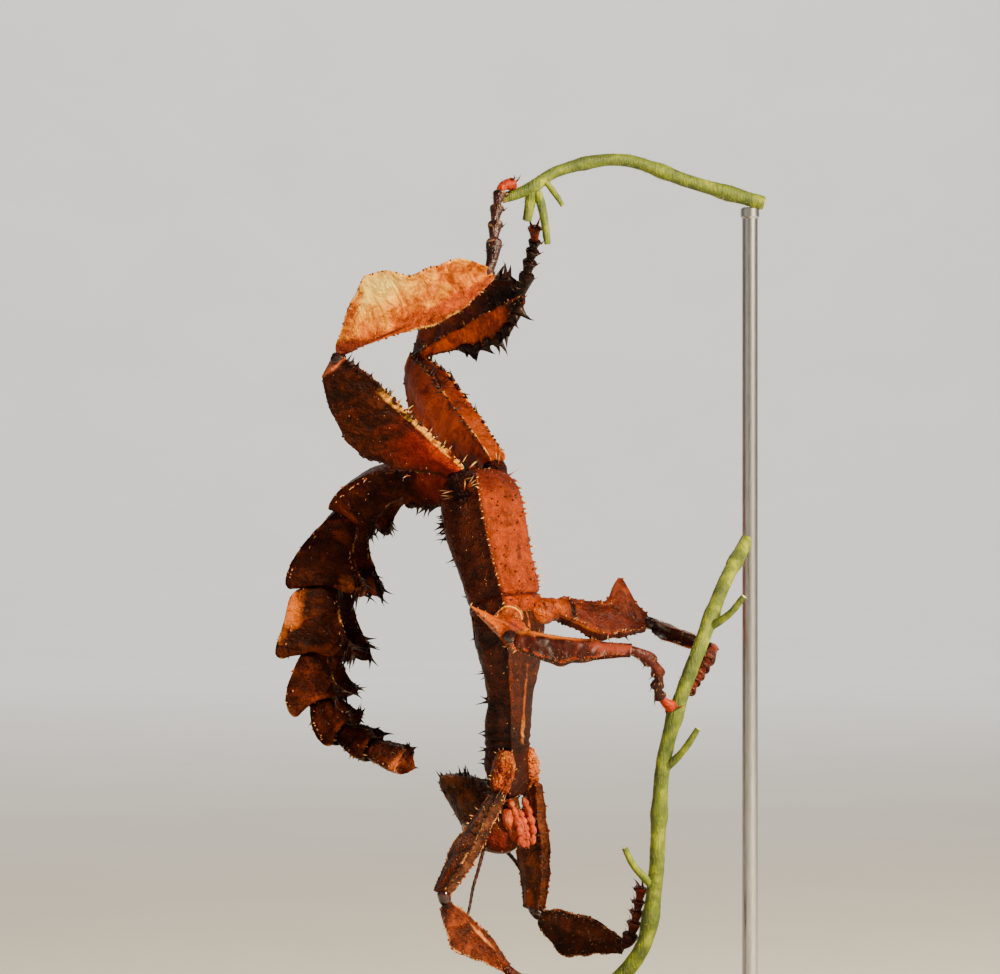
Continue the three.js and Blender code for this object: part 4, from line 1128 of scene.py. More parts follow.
# Rings of a coxa and of a knee, as (part of the length, part of the radius).
COXA_FOLDS = [
    (-0.3, 0.55), (-0.1, 0.78), (0.1, 0.95), (0.24, 0.98), (0.3, 0.88), (0.36, 0.97), (0.55, 1.0),
    (0.7, 0.94), (0.78, 0.8), (0.84, 0.88), (0.98, 0.86), (1.12, 0.74), (1.2, 0.55),
]
KNEE_BALL = [(0, 0.5), (0.12, 0.85), (0.35, 1.0), (0.55, 0.86), (0.72, 0.92), (0.9, 0.7), (1, 0.4)]


class FreeLine:
    """A smooth line through points in millimetres, along which a straight part is laid."""

    def __init__(self, points):
        self.points, self.length = smooth_line(points, 160)
        self.run = np.linspace(0, self.length, len(self.points))
        tangents = np.gradient(self.points, axis=0)
        self.x = tangents / np.linalg.norm(tangents, axis=1)[:, None]
        side = Vector(self.x[0]).orthogonal().normalized()
        rows = []
        for tangent in self.x:
            tangent = Vector(tangent)
            side = (side - tangent * side.dot(tangent)).normalized()
            rows.append(tuple(side))
        self.y = np.array(rows)

    def at(self, values, place):
        return np.stack([np.interp(place, self.run, values[:, k]) for k in range(3)], -1)

    def lay(self, coords):
        along = np.clip(coords[:, 0], 0, self.length)
        middle, x, y = self.at(self.points, along), self.at(self.x, along), self.at(self.y, along)
        z = np.cross(x, y)
        return middle + (coords[:, 0] - along)[:, None] * x + coords[:, 1:2] * y + coords[:, 2:3] * z


def join(name, pieces):
    nothing_selected()
    for piece in pieces:
        piece.select_set(True)
    bpy.context.view_layer.objects.active = pieces[0]
    bpy.ops.object.join()
    joined = bpy.context.object
    joined.name = name
    return joined


def one_of(piece, name):
    """A copy with its own mesh."""
    copy = piece.copy()
    copy.data = piece.data.copy()
    copy.name = name
    bpy.context.collection.objects.link(copy)
    return copy


def foot_joint():
    """One joint of a foot, 1 long: narrow at its root, flared and padded at its end."""
    rings = [
        (-0.06, 0.42, 0.42, 0.42), (0.06, 0.6, 0.6, 0.6), (0.35, 0.66, 0.68, 0.66), (0.65, 0.82, 0.86, 0.9),
        (0.86, 1.0, 1.05, 1.25), (0.97, 0.95, 0.98, 1.15), (1.0, 0.7, 0.7, 0.8),
    ]
    piece = ring_stack("foot_joint", ROUND, rings)
    smooth_out(piece, 2, ())
    return piece


# A blade with a keel along the middle of each face.
KEELED_BLADE = [(0, 1), (0.3, 0.72), (0.5, 0.34), (0.62, 0.12), (1, 0), (0.56, -0.16), (0.36, -0.55), (0, -1)]
# Where a foot's joints begin and end, and the rings of a claw as (distance, radius, lift).
FOOT_PARTS = [0, 0.34, 0.52, 0.68, 0.82, 1.0]
CLAW = [(0, 0.34), (0.5, 0.26, 0.1), (1.1, 0.2, 0.4), (1.6, 0.13, 0.85), (1.9, 0.03, 1.4)]


def foot(name, points, radius, pattern, material):
    """Five joints, a swollen end and a pair of claws."""
    line = FreeLine(points)
    pieces = []
    for count, (start, end) in enumerate(zip(FOOT_PARTS[:-1], FOOT_PARTS[1:])):
        piece = one_of(pattern, f"{name}_{count}")
        coords = coords_of(piece)
        length = (end - start) * line.length
        is_last = count == len(FOOT_PARTS) - 2
        coords[:, 1:] *= radius * (1 - 0.06 * count + (0.1 if is_last else 0))
        local = coords[:, 0].copy()
        coords[:, 0] = start * line.length + local * length * 1.05
        set_coords(piece, coords)
        keep(piece.data, "along", np.clip(local, 0, 1))
        keep(piece.data, "side", np.zeros(len(local)))
        keep(piece.data, "rim", np.clip(1 - np.abs(local - 0.88) / 0.12, 0, 1) * (0.2 if is_last else 0.85))
        for _ in range(14 if count else 34):
            part = rng.uniform(0.1, 0.95)
            turn = rng.uniform(0, 2 * math.pi)
            root = np.array([[(start + part * (end - start)) * line.length, 0.8 * radius * math.cos(turn),
                              0.8 * radius * math.sin(turn)]])
            tip = root + np.array([[0.5, math.cos(turn), math.sin(turn)]]) * 0.5
            ends = line.lay(np.vstack([root, tip]))
            spot = (part_number(name), start, turn / 6.3)
            hairs.add(ends[0], ends[1] - ends[0], rng.uniform(0.4, 0.9), 0.035, spot)
        for side in (-1, 1):
            # small teeth under the flared end of each joint
            root = np.array([[start * line.length + 0.86 * length, side * 0.62 * radius, -0.7 * radius]])
            ends = line.lay(np.vstack([root, root + np.array([[0.9, side * 0.5, -0.8]])]))
            dark.add(ends[0], ends[1] - ends[0], 0.75 * radius, 0.2, (part_number(name), start, 0.5))
        pieces.append(piece)
    last = pieces.pop()
    piece = join(name, pieces)
    settle(piece, material, [name], line=line)
    last.name = name.replace("tarsus", "foot_end")
    settle(last, finish["shaded_far_pad" if "right" in name else "pad"], line=line)
    end = Vector(line.points[-1])
    along = Vector(line.x[-1])
    across = along.cross(UP if abs(along.z) < 0.9 else BACK).normalized()
    claws = []
    for side in (-1, 1):
        claw = ring_stack(f"{name}_claw", ROUND, round_rings(CLAW))
        smooth_out(claw, 1, ())
        mark(claw, CLAW[0][0], CLAW[-1][0])
        aim = (along + across * 0.45 * side).normalized()
        place = basis(end - along * 0.3 + across * 0.25 * side, aim, -along.cross(across))
        set_coords(claw, put(coords_of(claw), place))
        claws.append(claw)
    claws = join(name.replace("tarsus", "claws"), claws)
    settle(claws, finish["claw"])


OUTER_EDGE = on_edge(0.8, (0.06, 0.95), (0.75, 2))


def inner_patches(name):
    """The thorns of a femur's two inner keels, first those of side -1."""
    # on the near hind femur the pale row of side 1 is a painted highlight along its lit keel
    if name == "hind_left":
        return dark, pale
    return (dark, dark) if name.startswith("hind") else (pale, dark)


def thigh_of(name, kind, spec, hip, knee, ankle):
    thigh = (knee - hip).normalized()
    shapes = LIMBS[kind]
    big = shapes["thorns"]
    outer = outer_side(knee, hip, ankle, -spec.get("roll", 0))
    femur = limb(
        f"{name}_femur", hip, knee, outer, shapes["femur"], spec["flexor"], THREE_KEELS, (0, 5),
        finish[spec.get("thigh_finish", f"{kind}_femur")], before=0.3, beyond=-1.1, ripples=0.2)
    count = int((knee - hip).length / (1.35 * big))
    for side, patch in zip((-1, 1), inner_patches(name)):
        teeth(patch, femur, count, 1.1 * big, on_edge(0.75, (0.04, 0.95), (-1, 0.5), side), thigh * 0.3)
        if kind == "hind":
            # a few stout ones near the knee
            teeth(dark, femur, 6, 1.5, on_edge(0.75, (0.55, 0.95), (-1, 0.5), side), thigh * 0.3, 0.42)
    teeth(dark if kind == "hind" else pale, femur, int(count * 0.8), 0.9 * big, OUTER_EDGE, thigh * 0.3)
    scatter(pale, femur, 40, 0.3, 0.1)


def shin_of(name, kind, spec, hip, knee, ankle):
    shin = (ankle - knee).normalized()
    shapes = LIMBS[kind]
    big, small = shapes["thorns"], shapes["shin_teeth"]
    outer = outer_side(knee, ankle, hip, spec.get("shin_roll", 0))
    section, keels = (BLADE, (0, 7)) if kind != "mid" else (THREE_KEELS, (0, 5))
    if name == "hind_right":
        section, keels = KEELED_BLADE, (0, 4, 7)
    tibia = limb(
        f"{name}_tibia", knee, ankle, outer, shapes["tibia"], spec["flexor"], section, keels,
        finish[spec.get("shin_finish", f"{kind}_tibia")], before=-1.3, beyond=0.7, ripples=shapes["ripples"])
    count = int((ankle - knee).length / (1.5 * big))
    low_patch = dark if name in ("hind_right", "mid_left") else pale
    teeth(low_patch, tibia, count, 0.75 * big * small, on_edge(0.75, (0.08, 0.97), (-1, 0.35)), shin * 0.3)
    teeth(pale, tibia, int(count * 1.6), 0.5 * big * small, OUTER_EDGE, shin * 0.3)
    if name == "hind_right":
        # a row along the middle of each face, and large thorns on both rims of the far half
        teeth(pale, tibia, count, 0.6, on_edge(0.75, (0.1, 0.95), (0.35, 0.51)), shin * 0.3)
        for rim_place, reach in (((0.85, 2), 1), ((-1, 0.12), -1)):
            lean = outer * 2.2 * reach + shin * 0.7
            far_half = on_edge(0.7, (0.42, 0.99), rim_place)
            teeth(dark, tibia, 15, 2.6, far_half, lean, 0.95, (0.6, 0.8, 1.0, 1.2))
    scatter(hairs, tibia, 320, 0.55, 0.03, where=lambda v: v["rim"] + 0.08)


def leg(name, spec, pattern):
    kind = name.split("_")[0]
    shapes = LIMBS[kind]
    root, hip, knee, ankle = (Vector(spec[key]) for key in ("root", "hip", "knee", "ankle"))
    thigh = (knee - hip).normalized()
    shin = (ankle - knee).normalized()
    coxa = egg(
        f"{name}_coxa", root.lerp(hip, 0.16) if kind == "fore" else root, hip, spec["coxa"], COXA_FOLDS,
        finish[spec.get("coxa_finish", shapes["coxa"])], [f"{name}_coxa"])
    if kind == "hind":
        scatter(pale, coxa, 26, 2.2, 0.17, UP * 0.5 - LEFT * 0.5)
    if kind == "fore":
        scatter(pale, coxa, 26, 0.7, 0.18, UP * 0.3)
    thigh_of(name, kind, spec, hip, knee, ankle)
    shin_of(name, kind, spec, hip, knee, ankle)
    egg(f"{name}_knee", knee - thigh * 1.9, knee + shin * 2.2, shapes["knee"], KNEE_BALL,
        finish["knee"])
    foot(f"{name}_tarsus", [ankle - shin * 0.6, *spec["toe"]], spec["foot"] * shapes["foot"], pattern,
         finish[spec.get("foot_finish", "fore_foot")])


# ---------- trunk ----------

# Half a cross-section of the trunk from the mid-back to the mid-belly, and its keels' places in it.
TRUNK_SECTION = [
    (0, 1), (0.3, 0.98), (0.62, 0.84), (0.88, 0.5), (1, 0), (0.96, -0.5), (1.0, -0.9), (0.86, -0.97),
    (0.5, -1.0), (0, -1.05),
]
TRUNK_KEEL, BELLY_LINE = 6, 9
# Each ring is (distance from the neck, half width, back, belly).
PROTHORAX = [
    (-1.2, 2.0, 2.2, 1.8), (-0.4, 2.5, 3.0, 2.2), (0.5, 2.9, 3.7, 2.5), (1.6, 2.95, 4.2, 2.6),
    (2.4, 2.7, 4.1, 2.4), (3.1, 3.0, 4.6, 2.7), (4.6, 3.1, 4.9, 2.8), (6, 2.9, 4.6, 2.7),
    (7, 2.8, 4.5, 2.7), (7.5, 2.7, 4.3, 2.6), (7.6, 2.2, 3.6, 2.1),
]
MESOTHORAX = [
    (6.6, 2.2, 3.7, 2.1), (7.2, 2.7, 4.3, 2.6), (7.8, 3.15, 4.8, 3.05), (8.5, 2.6, 4.3, 2.5),
    (9.2, 3.15, 4.8, 3.05), (9.9, 2.7, 4.4, 2.6), (10.8, 3.2, 4.7, 2.9), (13, 3.15, 4.1, 2.9),
    (16, 3.4, 3.7, 3.1), (19.5, 4.3, 4.0, 3.8), (23, 5.1, 4.6, 4.4), (26, 5.6, 5.0, 4.9),
    (28, 5.8, 5.2, 5.0), (29.2, 5.7, 5.2, 4.9), (30.1, 5.4, 5.0, 4.7), (30.3, 4.8, 4.4, 4.1),
]
METATHORAX = [
    (29.2, 5.0, 4.6, 4.3), (30.2, 5.4, 5.0, 4.9), (31.6, 5.9, 5.2, 5.2), (32.3, 5.8, 5.1, 5.1),
    (32.7, 5.2, 4.8, 4.5), (33.1, 5.8, 5.1, 5.1), (33.8, 5.95, 5.2, 5.25), (36, 6.0, 5.3, 5.2),
    (39, 6.0, 5.5, 5.2), (42.5, 6.2, 6.1, 5.4), (46, 6.35, 6.5, 5.6), (49.5, 6.45, 6.3, 5.8),
    (52.2, 6.2, 5.8, 5.5), (54, 5.5, 5.1, 5.0), (55.2, 4.4, 4.1, 4.1), (55.9, 2.8, 2.6, 2.6),
]


def trunk_part(name, rings, material, keels=(TRUNK_KEEL,)):
    piece = ring_stack(name, TRUNK_SECTION, rings, keels)
    smooth_out(piece, 3, ((3.5, 0.5), (1.2, 0.22)))
    mark(piece, rings[0][0], rings[-1][0])
    return settle(piece, material, [name], line=trunk_line)


def body_thorn(patch, name, place, direction, length, part, around, width=None):
    """A thorn of the trunk, given in the straight body's (along, right, back) directions."""
    root = np.array([place])
    ends = trunk_line.lay(np.vstack([root, root + np.array([direction]) * 0.5]))
    spot = (part_number(name), part, around)
    patch.add(ends[0], ends[1] - ends[0], length, width or 0.12 + 0.1 * length, spot)


def size_at(rings, x):
    at = [ring[0] for ring in rings]
    return [float(np.interp(x, at, [ring[k] for ring in rings])) for k in (1, 2, 3)]


def trunk_thorns(name, rings, keel_length, clusters):
    """Pale thorns along the side keels, and dark clusters on the back as (place, length)."""
    start, end = rings[0][0], rings[-1][0]
    for side in (-1, 1):
        x = start + 2.2
        while x < end - 1.5:
            wide, _, belly = size_at(rings, x)
            part = (x - start) / (end - start)
            if keel_length:
                place = (x, side * wide * 0.97, -0.9 * belly)
                aim = (rng.uniform(-0.4, 0.2), side, -0.45)
                length = keel_length * rng.choice([0.5, 0.8, 1, 1.3])
                body_thorn(pale, name, place, aim, length, part, 0.5 + side * 0.2)
            x += rng.uniform(0.8, 1.5)
        for x, tallest in clusters:
            wide, back, _ = size_at(rings, x)
            part = (x - start) / (end - start)
            for _ in range(3):
                place = (x + rng.uniform(-0.7, 0.7), side * wide * rng.uniform(0.2, 0.5), 0.9 * back)
                aim = (rng.uniform(-0.4, 0.4), side * rng.uniform(0.1, 0.6), 1)
                length = tallest * rng.choice([0.5, 0.8, 1, 1.2])
                body_thorn(dark, name, place, aim, length, part, 0.1)


def trunk():
    front = trunk_part("prothorax", PROTHORAX, finish["prothorax"])
    middle = trunk_part("mesothorax", MESOTHORAX, finish["mesothorax"], (TRUNK_KEEL, BELLY_LINE))
    rear = trunk_part("metathorax", METATHORAX, finish["thorax"])
    trunk_thorns("prothorax", PROTHORAX, 0.5, [(1.5, 1.4), (4.6, 1.7), (6.6, 1.2)])
    trunk_thorns("mesothorax", MESOTHORAX, 0.0, [(9.5, 1.6), (15, 1.9), (20, 1.8), (26, 1.2)])
    trunk_thorns("metathorax", METATHORAX, 1.2, [(35, 1.2), (41, 1.5), (46, 2.0), (49, 1.8)])
    # longer ones along the right keel and a dark cluster on the back between the hips
    for x in np.linspace(33, 51, 16):
        wide, _, belly = size_at(METATHORAX, x)
        body_thorn(pale, "metathorax", (x + rng.uniform(-0.4, 0.4), wide * 0.99, -0.8 * belly),
                   (rng.uniform(-0.5, 0.1), 1, -0.15), rng.uniform(1.2, 2.3), (x - 30) / 25, 0.7)
    for _ in range(16):
        x = rng.uniform(46.2, 48.8)
        wide, back, _ = size_at(METATHORAX, x)
        side = rng.choice((-1, 1))
        body_thorn(dark, "metathorax", (x, side * wide * rng.uniform(0.2, 0.62), 0.86 * back),
                   (rng.uniform(-0.6, 0.4), side * rng.uniform(0, 0.8), 1), rng.uniform(1.6, 3.2),
                   (x - 30) / 25, 0.1, width=0.46)
    scatter(dark, rear, 46, 0.55, 0.2, where=lambda v: (v["outer"] < 0.3) * 1.0)
    scatter(pale, rear, 90, 0.25, 0.1)
    scatter(pale, middle, 60, 0.25, 0.1)
    scatter(pale, front, 40, 0.35, 0.12)
    scatter(dark, middle, 30, 0.5, 0.13)


# Rings of a wing pad, and the place of its root as (along, side, back).
WING_PAD = [
    (0, 0.7, 0.12, 0.3), (1.2, 1.3, 0.3, 0.4), (3.4, 1.75, 0.42, 0.45), (5.6, 1.8, 0.4, 0.4),
    (7, 1.3, 0.3, 0.3), (7.6, 0.5, 0.14, 0.14),
]
WING_ROOT = (24.2, 2.3, 4.75)


def wing_pads():
    """Two small flaps at the rear of the mesothorax's back."""
    for name, side in (("left", -1), ("right", 1)):
        piece = ring_stack(f"wing_pad_{name}", ROUND, WING_PAD, (0, 3, 6))
        smooth_out(piece, 2, ((1.0, 0.12),))
        mark(piece, WING_PAD[0][0], WING_PAD[-1][0])
        coords = coords_of(piece) + np.array([WING_ROOT[0], side * WING_ROOT[1], WING_ROOT[2]])
        # the pad bends down over the side of the body
        coords[:, 2] -= 0.06 * (coords[:, 1] * side) ** 2
        set_coords(piece, coords)
        settle(piece, finish["wing"], [f"wing_pad_{name}"], line=trunk_line)


# ---------- tail ----------

# Half width, back and belly are at the front of each ring; ridge and lobe are how far its crest and its
# side lobes stand out at the rear, and early is how far the lobe stands out from the start.
TAIL = [
    {"name": "abdomen_2", "length": 12.6, "width": 4.9, "back": 3.8, "belly": 3.8,
     "ridge": 1.2, "lobe": 0.3, "thorns": 4, "finish": "root_tail"},
    {"name": "abdomen_3", "length": 14.4, "width": 5.2, "back": 3.7, "belly": 4,
     "ridge": 3.4, "lobe": 1.2, "thorns": 9},
    {"name": "abdomen_4", "length": 13.6, "width": 5.4, "back": 3.2, "belly": 4.1,
     "ridge": 6.6, "lobe": 4.6, "thorns": 13, "finish": "lit_crest_tail"},
    {"name": "abdomen_5", "length": 12.1, "width": 5.6, "back": 3.3, "belly": 4,
     "ridge": 6.0, "lobe": 4.6, "thorns": 13, "finish": "lit_tail", "early": 0.75},
    {"name": "abdomen_6", "length": 9.2, "width": 5.4, "back": 3.3, "belly": 3.7,
     "ridge": 3.0, "lobe": 3.4, "thorns": 8},
    {"name": "abdomen_7", "length": 7.4, "width": 4.4, "back": 3.2, "belly": 3,
     "ridge": 1.3, "lobe": 1.9, "thorns": 4},
    {"name": "abdomen_8", "length": 6.4, "width": 3.6, "back": 2.9, "belly": 2.6,
     "ridge": 0.9, "lobe": 1.0, "thorns": 3},
    {"name": "abdomen_tip", "length": 7.4, "width": 3, "back": 2.5, "belly": 2.2,
     "ridge": 0.5, "lobe": 0.5, "thorns": 3, "finish": "tail_tip"},
]
TAIL_START = 0.4
# Half a ring of the tail from the mid-back to the mid-belly, and the places in it that stand out.
TAIL_SECTION = [
    (0, 0.86), (0.26, 0.9), (0.46, 1.0), (0.66, 0.72), (0.86, 0.36), (0.97, 0.02), (1.0, -0.42),
    (0.84, -0.62), (0.5, -0.9), (0, -1.0),
]
CREST, FLANK, LOBE = 2, 5, 6
# Rings as (part of the length, size, crest, lobe, how far crest and lobe reach on towards the tail's end).
TAIL_PLAN = [
    (-0.08, 0.56, 0, 0, 0), (0.02, 0.78, 0, 0, 0), (0.1, 0.84, 0.03, 0.05, 0), (0.28, 0.94, 0.12, 0.2, 0),
    (0.46, 0.98, 0.3, 0.45, 0), (0.62, 1.0, 0.55, 0.72, 0.3), (0.76, 1.0, 0.82, 0.92, 0.9),
    (0.87, 0.99, 1.0, 1.0, 1.7), (0.95, 0.95, 0.92, 0.9, 2.1), (0.99, 0.88, 0.55, 0.45, 1.4),
    (0.9, 0.72, 0.1, 0.1, 0.2),
]


def tail_part(spec, following, start):
    """One bell-shaped ring of the tail, with its twin crest and side lobes."""
    rings = []
    for part, size, *_ in TAIL_PLAN:
        share = max(part, 0) * 0.5
        rings.append((start + part * spec["length"], *(
            (spec[key] + (following[key] - spec[key]) * share) * size for key in ("width", "back", "belly"))))
    piece = ring_stack(spec["name"], TAIL_SECTION, rings, (CREST, LOBE))
    bpy.ops.object.mode_set(mode="EDIT")
    tall, broad = min(1, spec["ridge"] / 3), min(1, spec["lobe"] / 3)
    for (x, wide, _, _), (part, _, crest, lobe, reach) in zip(rings, TAIL_PLAN):
        if 0.1 <= part < 0.86:
            lobe = max(lobe, spec.get("early", 0))
        for spot, spread, rise, shift in (
            (CREST, 0.15 * crest, crest * spec["ridge"], 0.55 * reach * tall),
            (CREST - 1, 0.0, 0.5 * crest * spec["ridge"], 0.2 * reach * tall),
            (CREST + 1, 0.1 * crest, 0.2 * crest * spec["ridge"], 0.2 * reach * tall),
            (LOBE, lobe * spec["lobe"], -0.32 * lobe * spec["lobe"], reach * broad),
            (FLANK, 0.4 * lobe * spec["lobe"], 0, 0.4 * reach * broad),
            (LOBE + 1, 0.4 * lobe * spec["lobe"], -0.1 * lobe * spec["lobe"], 0.4 * reach * broad),
        ):
            side = TAIL_SECTION[spot][0] * wide
            pick(lambda p, at: abs(p.x - x) < SAME and abs(at) == spot)
            bpy.ops.transform.resize(value=(1, (side + spread) / side, 1), center_override=(x, 0, 0))
            bpy.ops.transform.translate(value=(shift, 0, rise))
    # the last ring turns back inside the rim
    pick(lambda p, at: abs(p.x - rings[-1][0]) < SAME)
    bpy.ops.transform.translate(value=(-0.16 * spec["length"], 0, 0))
    face_outwards()
    bpy.ops.object.mode_set(mode="OBJECT")
    smooth_out(piece, 3, ((3.0, 0.45), (1.1, 0.2)))
    mark(piece, start, start + spec["length"] * 1.04)
    return settle(piece, finish[spec.get("finish", "tail")], [spec["name"]], line=tail_line)


def tail():
    start = TAIL_START
    for spec, following in zip(TAIL, [*TAIL[1:], TAIL[-1]]):
        piece = tail_part(spec, following, start)
        end = start + spec["length"]
        here, next_one, above = tail_line.lay(np.array([[end, 0, 0], [end + 1, 0, 0], [end, 0, 1]]))
        onward, dorsal = Vector(next_one - here), Vector(above - here)
        for side in (-1, 1):
            teeth(dark, piece, int(spec["thorns"] * 1.5), 1.1 + 0.3 * spec["ridge"],
                  on_edge(0.5, (0.66, 0.985), (0.6, 2), side), onward * 0.6 + dorsal * 0.4, 0.44)
            # the two tallest crests, which stand in the light, have a pale row in front as a painted
            # highlight, the others a dark one
            teeth(pale if spec["ridge"] > 5 else dark, piece, 14, 0.42,
                  on_edge(0.6, (0.12, 0.66), (0.6, 2), side), onward * 1.4, 0.15)
            teeth(pale, piece, 9 + int(spec["lobe"] * 2), 0.6,
                  on_edge(0.6, (0.3, 0.99), (-1, 0.6), side), onward * 0.5)
        scatter(pale, piece, 10, 0.26, 0.09)
        scatter(dark, piece, 40, 0.5, 0.14, where=lambda v: v["outer"] ** 2)
        scatter(hairs, piece, 60, 0.6, 0.03)
        start += spec["length"]


# ---------- head ----------

# (height, towards the back, towards the belly, half width), from the mouth end to the crown.
HEAD = [
    (46.6, 2.9, 0.4, 1.0), (47.3, 4.5, -1.2, 2.6), (48.4, 6.0, -2.2, 3.6), (49.8, 7.6, -2.6, 4.1),
    (51.4, 9.2, -2.8, 4.35), (53.2, 10.6, -2.8, 4.25), (55, 12, -2.6, 4.0), (56.5, 13.0, -2.4, 3.6),
    (57.5, 13.5, -0.6, 3.2), (58.3, 13.7, 3.3, 2.8), (59.2, 13.7, 4.8, 2.2), (60.0, 13.1, 6.4, 1.4),
]
EYE = {"radius": 1.2, "back": 5.4, "height": 51.4, "side": 3.75}
# Rings of an eye and of the rim round it, as parts of the eye's radius. The rim's last ring is made at
# LID_FRONT millimetres, where no other ring is, and is then moved back inside the rim.
EYE_RINGS = [(-0.8, 0.6), (-0.5, 0.92), (0.0, 1.0), (0.45, 0.93), (0.8, 0.68), (1.0, 0.3), (1.05, 0.08)]
LID_RINGS = [(-1.2, 1.3), (-0.3, 1.36), (0.1, 1.3), (0.28, 1.16), (0.2, 0.98)]
LID_FRONT = 0.6
LID_BACK = {"x": -0.4, "size": 0.9}
FEELERS = {
    "left": [(-4.1, -4.4, 47.6), (-4.9, -6.4, 44.6), (-5.8, -8, 41.6), (-6.3, -9.2, 38.8), (-6.9, -10, 36.4)],
    "right": [(-0.4, 5, 47.2), (1.4, 6.6, 45), (2.9, 8.2, 42.4), (4, 9.8, 39.6), (4.6, 11, 37)],
}
PALPS = [
    {"root": (-2.3, 53.8), "side": 0.85, "reach": (1.5, -5.8), "radius": 0.66},
    {"root": (-2.2, 55.8), "side": 2.15, "reach": (1.9, -7.4), "radius": 0.74},
]


def head():
    rings = []
    for height, back, front, wide in HEAD:
        half = (back - front) / 2
        rings.append((height, wide, half, half, (back + front) / 2))
    skull = ring_stack("head", ROUND, rings)
    bpy.ops.object.mode_set(mode="EDIT")
    # brows stand over the eyes and a groove runs down the middle of the back of the head
    for side in (-1, 1):
        pick(lambda p, at: 50.6 < p.x < 54 and side * p.y > 2.4 and 5 < p.z < 9)
        bpy.ops.transform.translate(value=(0.3, side * 0.35, 0.3))
        pick(lambda p, at: 55.8 < p.x < 60.5 and side * p.y > 1 and p.z > 9)
        bpy.ops.transform.translate(value=(0.5, side * 0.35, 0.6))
    bpy.ops.object.mode_set(mode="OBJECT")
    smooth_out(skull, 3, ((2.2, 0.5), (0.8, 0.2)))
    mark(skull, HEAD[0][0], HEAD[-1][0])
    place = basis(Vector((0, 0, 0)), UP, BACK)
    settle(skull, finish["head"], ["head"], place)
    scatter(dark, skull, 46, 1.5, 0.3, UP * 0.5 + BACK * 0.4, where=lambda v: (v["along"] > 0.72) * 1.0)
    scatter(dark, skull, 40, 0.5, 0.13, where=lambda v: (v["along"] > 0.3) * 1.0)
    scatter(pale, skull, 50, 0.28, 0.1)
    scatter(hairs, skull, 90, 0.5, 0.03)
    for name, side in (("left", 1), ("right", -1)):
        eye(name, side)
        feeler(name, side)


def eye(name, side):
    """A bulging eye in a raised rim."""
    radius = EYE["radius"]
    place = basis(in_body(EYE["back"], EYE["height"], side * EYE["side"]), LEFT * side, BACK)
    rows = [(x * radius, size) for x, size in EYE_RINGS]
    ball = ring_stack(f"eye_{name}", ROUND, round_rings(rows, radius))
    smooth_out(ball, 2, ())
    mark(ball, -radius, radius)
    settle(ball, finish["eye"], [f"eye_{name}"], place)
    rows = [*((x * radius, size) for x, size in LID_RINGS), (LID_FRONT, LID_BACK["size"])]
    lid = ring_stack(f"eye_rim_{name}", ROUND, round_rings(rows, radius))
    bpy.ops.object.mode_set(mode="EDIT")
    pick(lambda p, at: abs(p.x - LID_FRONT) < SAME)
    bpy.ops.transform.translate(value=(-LID_FRONT + LID_BACK["x"] * radius, 0, 0))
    face_outwards()
    bpy.ops.object.mode_set(mode="OBJECT")
    smooth_out(lid, 2, ((0.7, 0.1),))
    mark(lid, -radius, radius)
    settle(lid, finish["head"], place=place)


def feeler(name, side):
    """A short antenna: a stout root joint, a small second one and beaded ones that grow slimmer."""
    root = in_body(3.3, 48.4, 2.4 * side)
    line = FreeLine([root + (Vector(FEELERS[name][0]) - root) * -0.4, root, *FEELERS[name]])
    rows = [(0, 0.4), (0.3, 0.66), (1.4, 0.72), (2.5, 0.62)]
    x = 2.6
    bead = 0.85
    while x < line.length - 0.6:
        radius = 0.5 - 0.2 * x / line.length
        rows += [(x, radius * 0.72), (x + 0.25 * bead, radius), (x + 0.8 * bead, radius)]
        x += bead
        bead = min(1.15, bead * 1.05)
    rows.append((line.length, 0.14))
    piece = ring_stack(f"antenna_{name}", ROUND[::2], round_rings(rows))
    smooth_out(piece, 2, ((0.6, 0.05),))
    mark(piece, 0, line.length)
    settle(piece, finish["feeler"], [f"antenna_{name}"], line=line)
    scatter(hairs, piece, 110, 0.35, 0.025)


LIP = [
    (-1.9, 0.6, 0.4, 0.4), (-1.4, 1.6, 1.0, 1.0), (0, 2.1, 1.4, 1.5), (1.3, 2.2, 1.5, 1.6),
    (2.2, 1.9, 1.2, 1.3), (2.6, 1.0, 0.7, 0.7),
]
JAW = [
    (-1.6, 0.3, 0.4, 0.4), (-1.2, 0.7, 0.9, 0.9), (0, 1.1, 1.2, 1.2), (1.4, 1.0, 1.1, 1.1),
    (2.2, 0.6, 0.7, 0.7),
]
# Each joint of a palp is (start, end, size), the rings of every joint are (part of it, width), and its
# middle line goes through a point at each of the steps.
PALP_JOINTS = [(0.03, 0.2, 0.95), (0.2, 0.4, 1.05), (0.4, 0.6, 1.1), (0.6, 0.8, 1.05), (0.8, 1.0, 0.9)]
PALP_RINGS = [(0.03, 0.52), (0.25, 0.92), (0.72, 1.0), (0.98, 0.56)]
PALP_STEPS = (-0.08, 0.1, 0.3, 0.5, 0.7, 0.85, 1)
# Where the markings of the lip and of the jaws start.
MOUTH_START = -2


def mouth_part(name, rings, swell, place):
    """The lip or a jaw."""
    piece = ring_stack(name, ROUND, rings)
    smooth_out(piece, 2, ((0.9, swell),))
    mark(piece, MOUTH_START, rings[-1][0])
    set_coords(piece, put(coords_of(piece), place))
    return piece


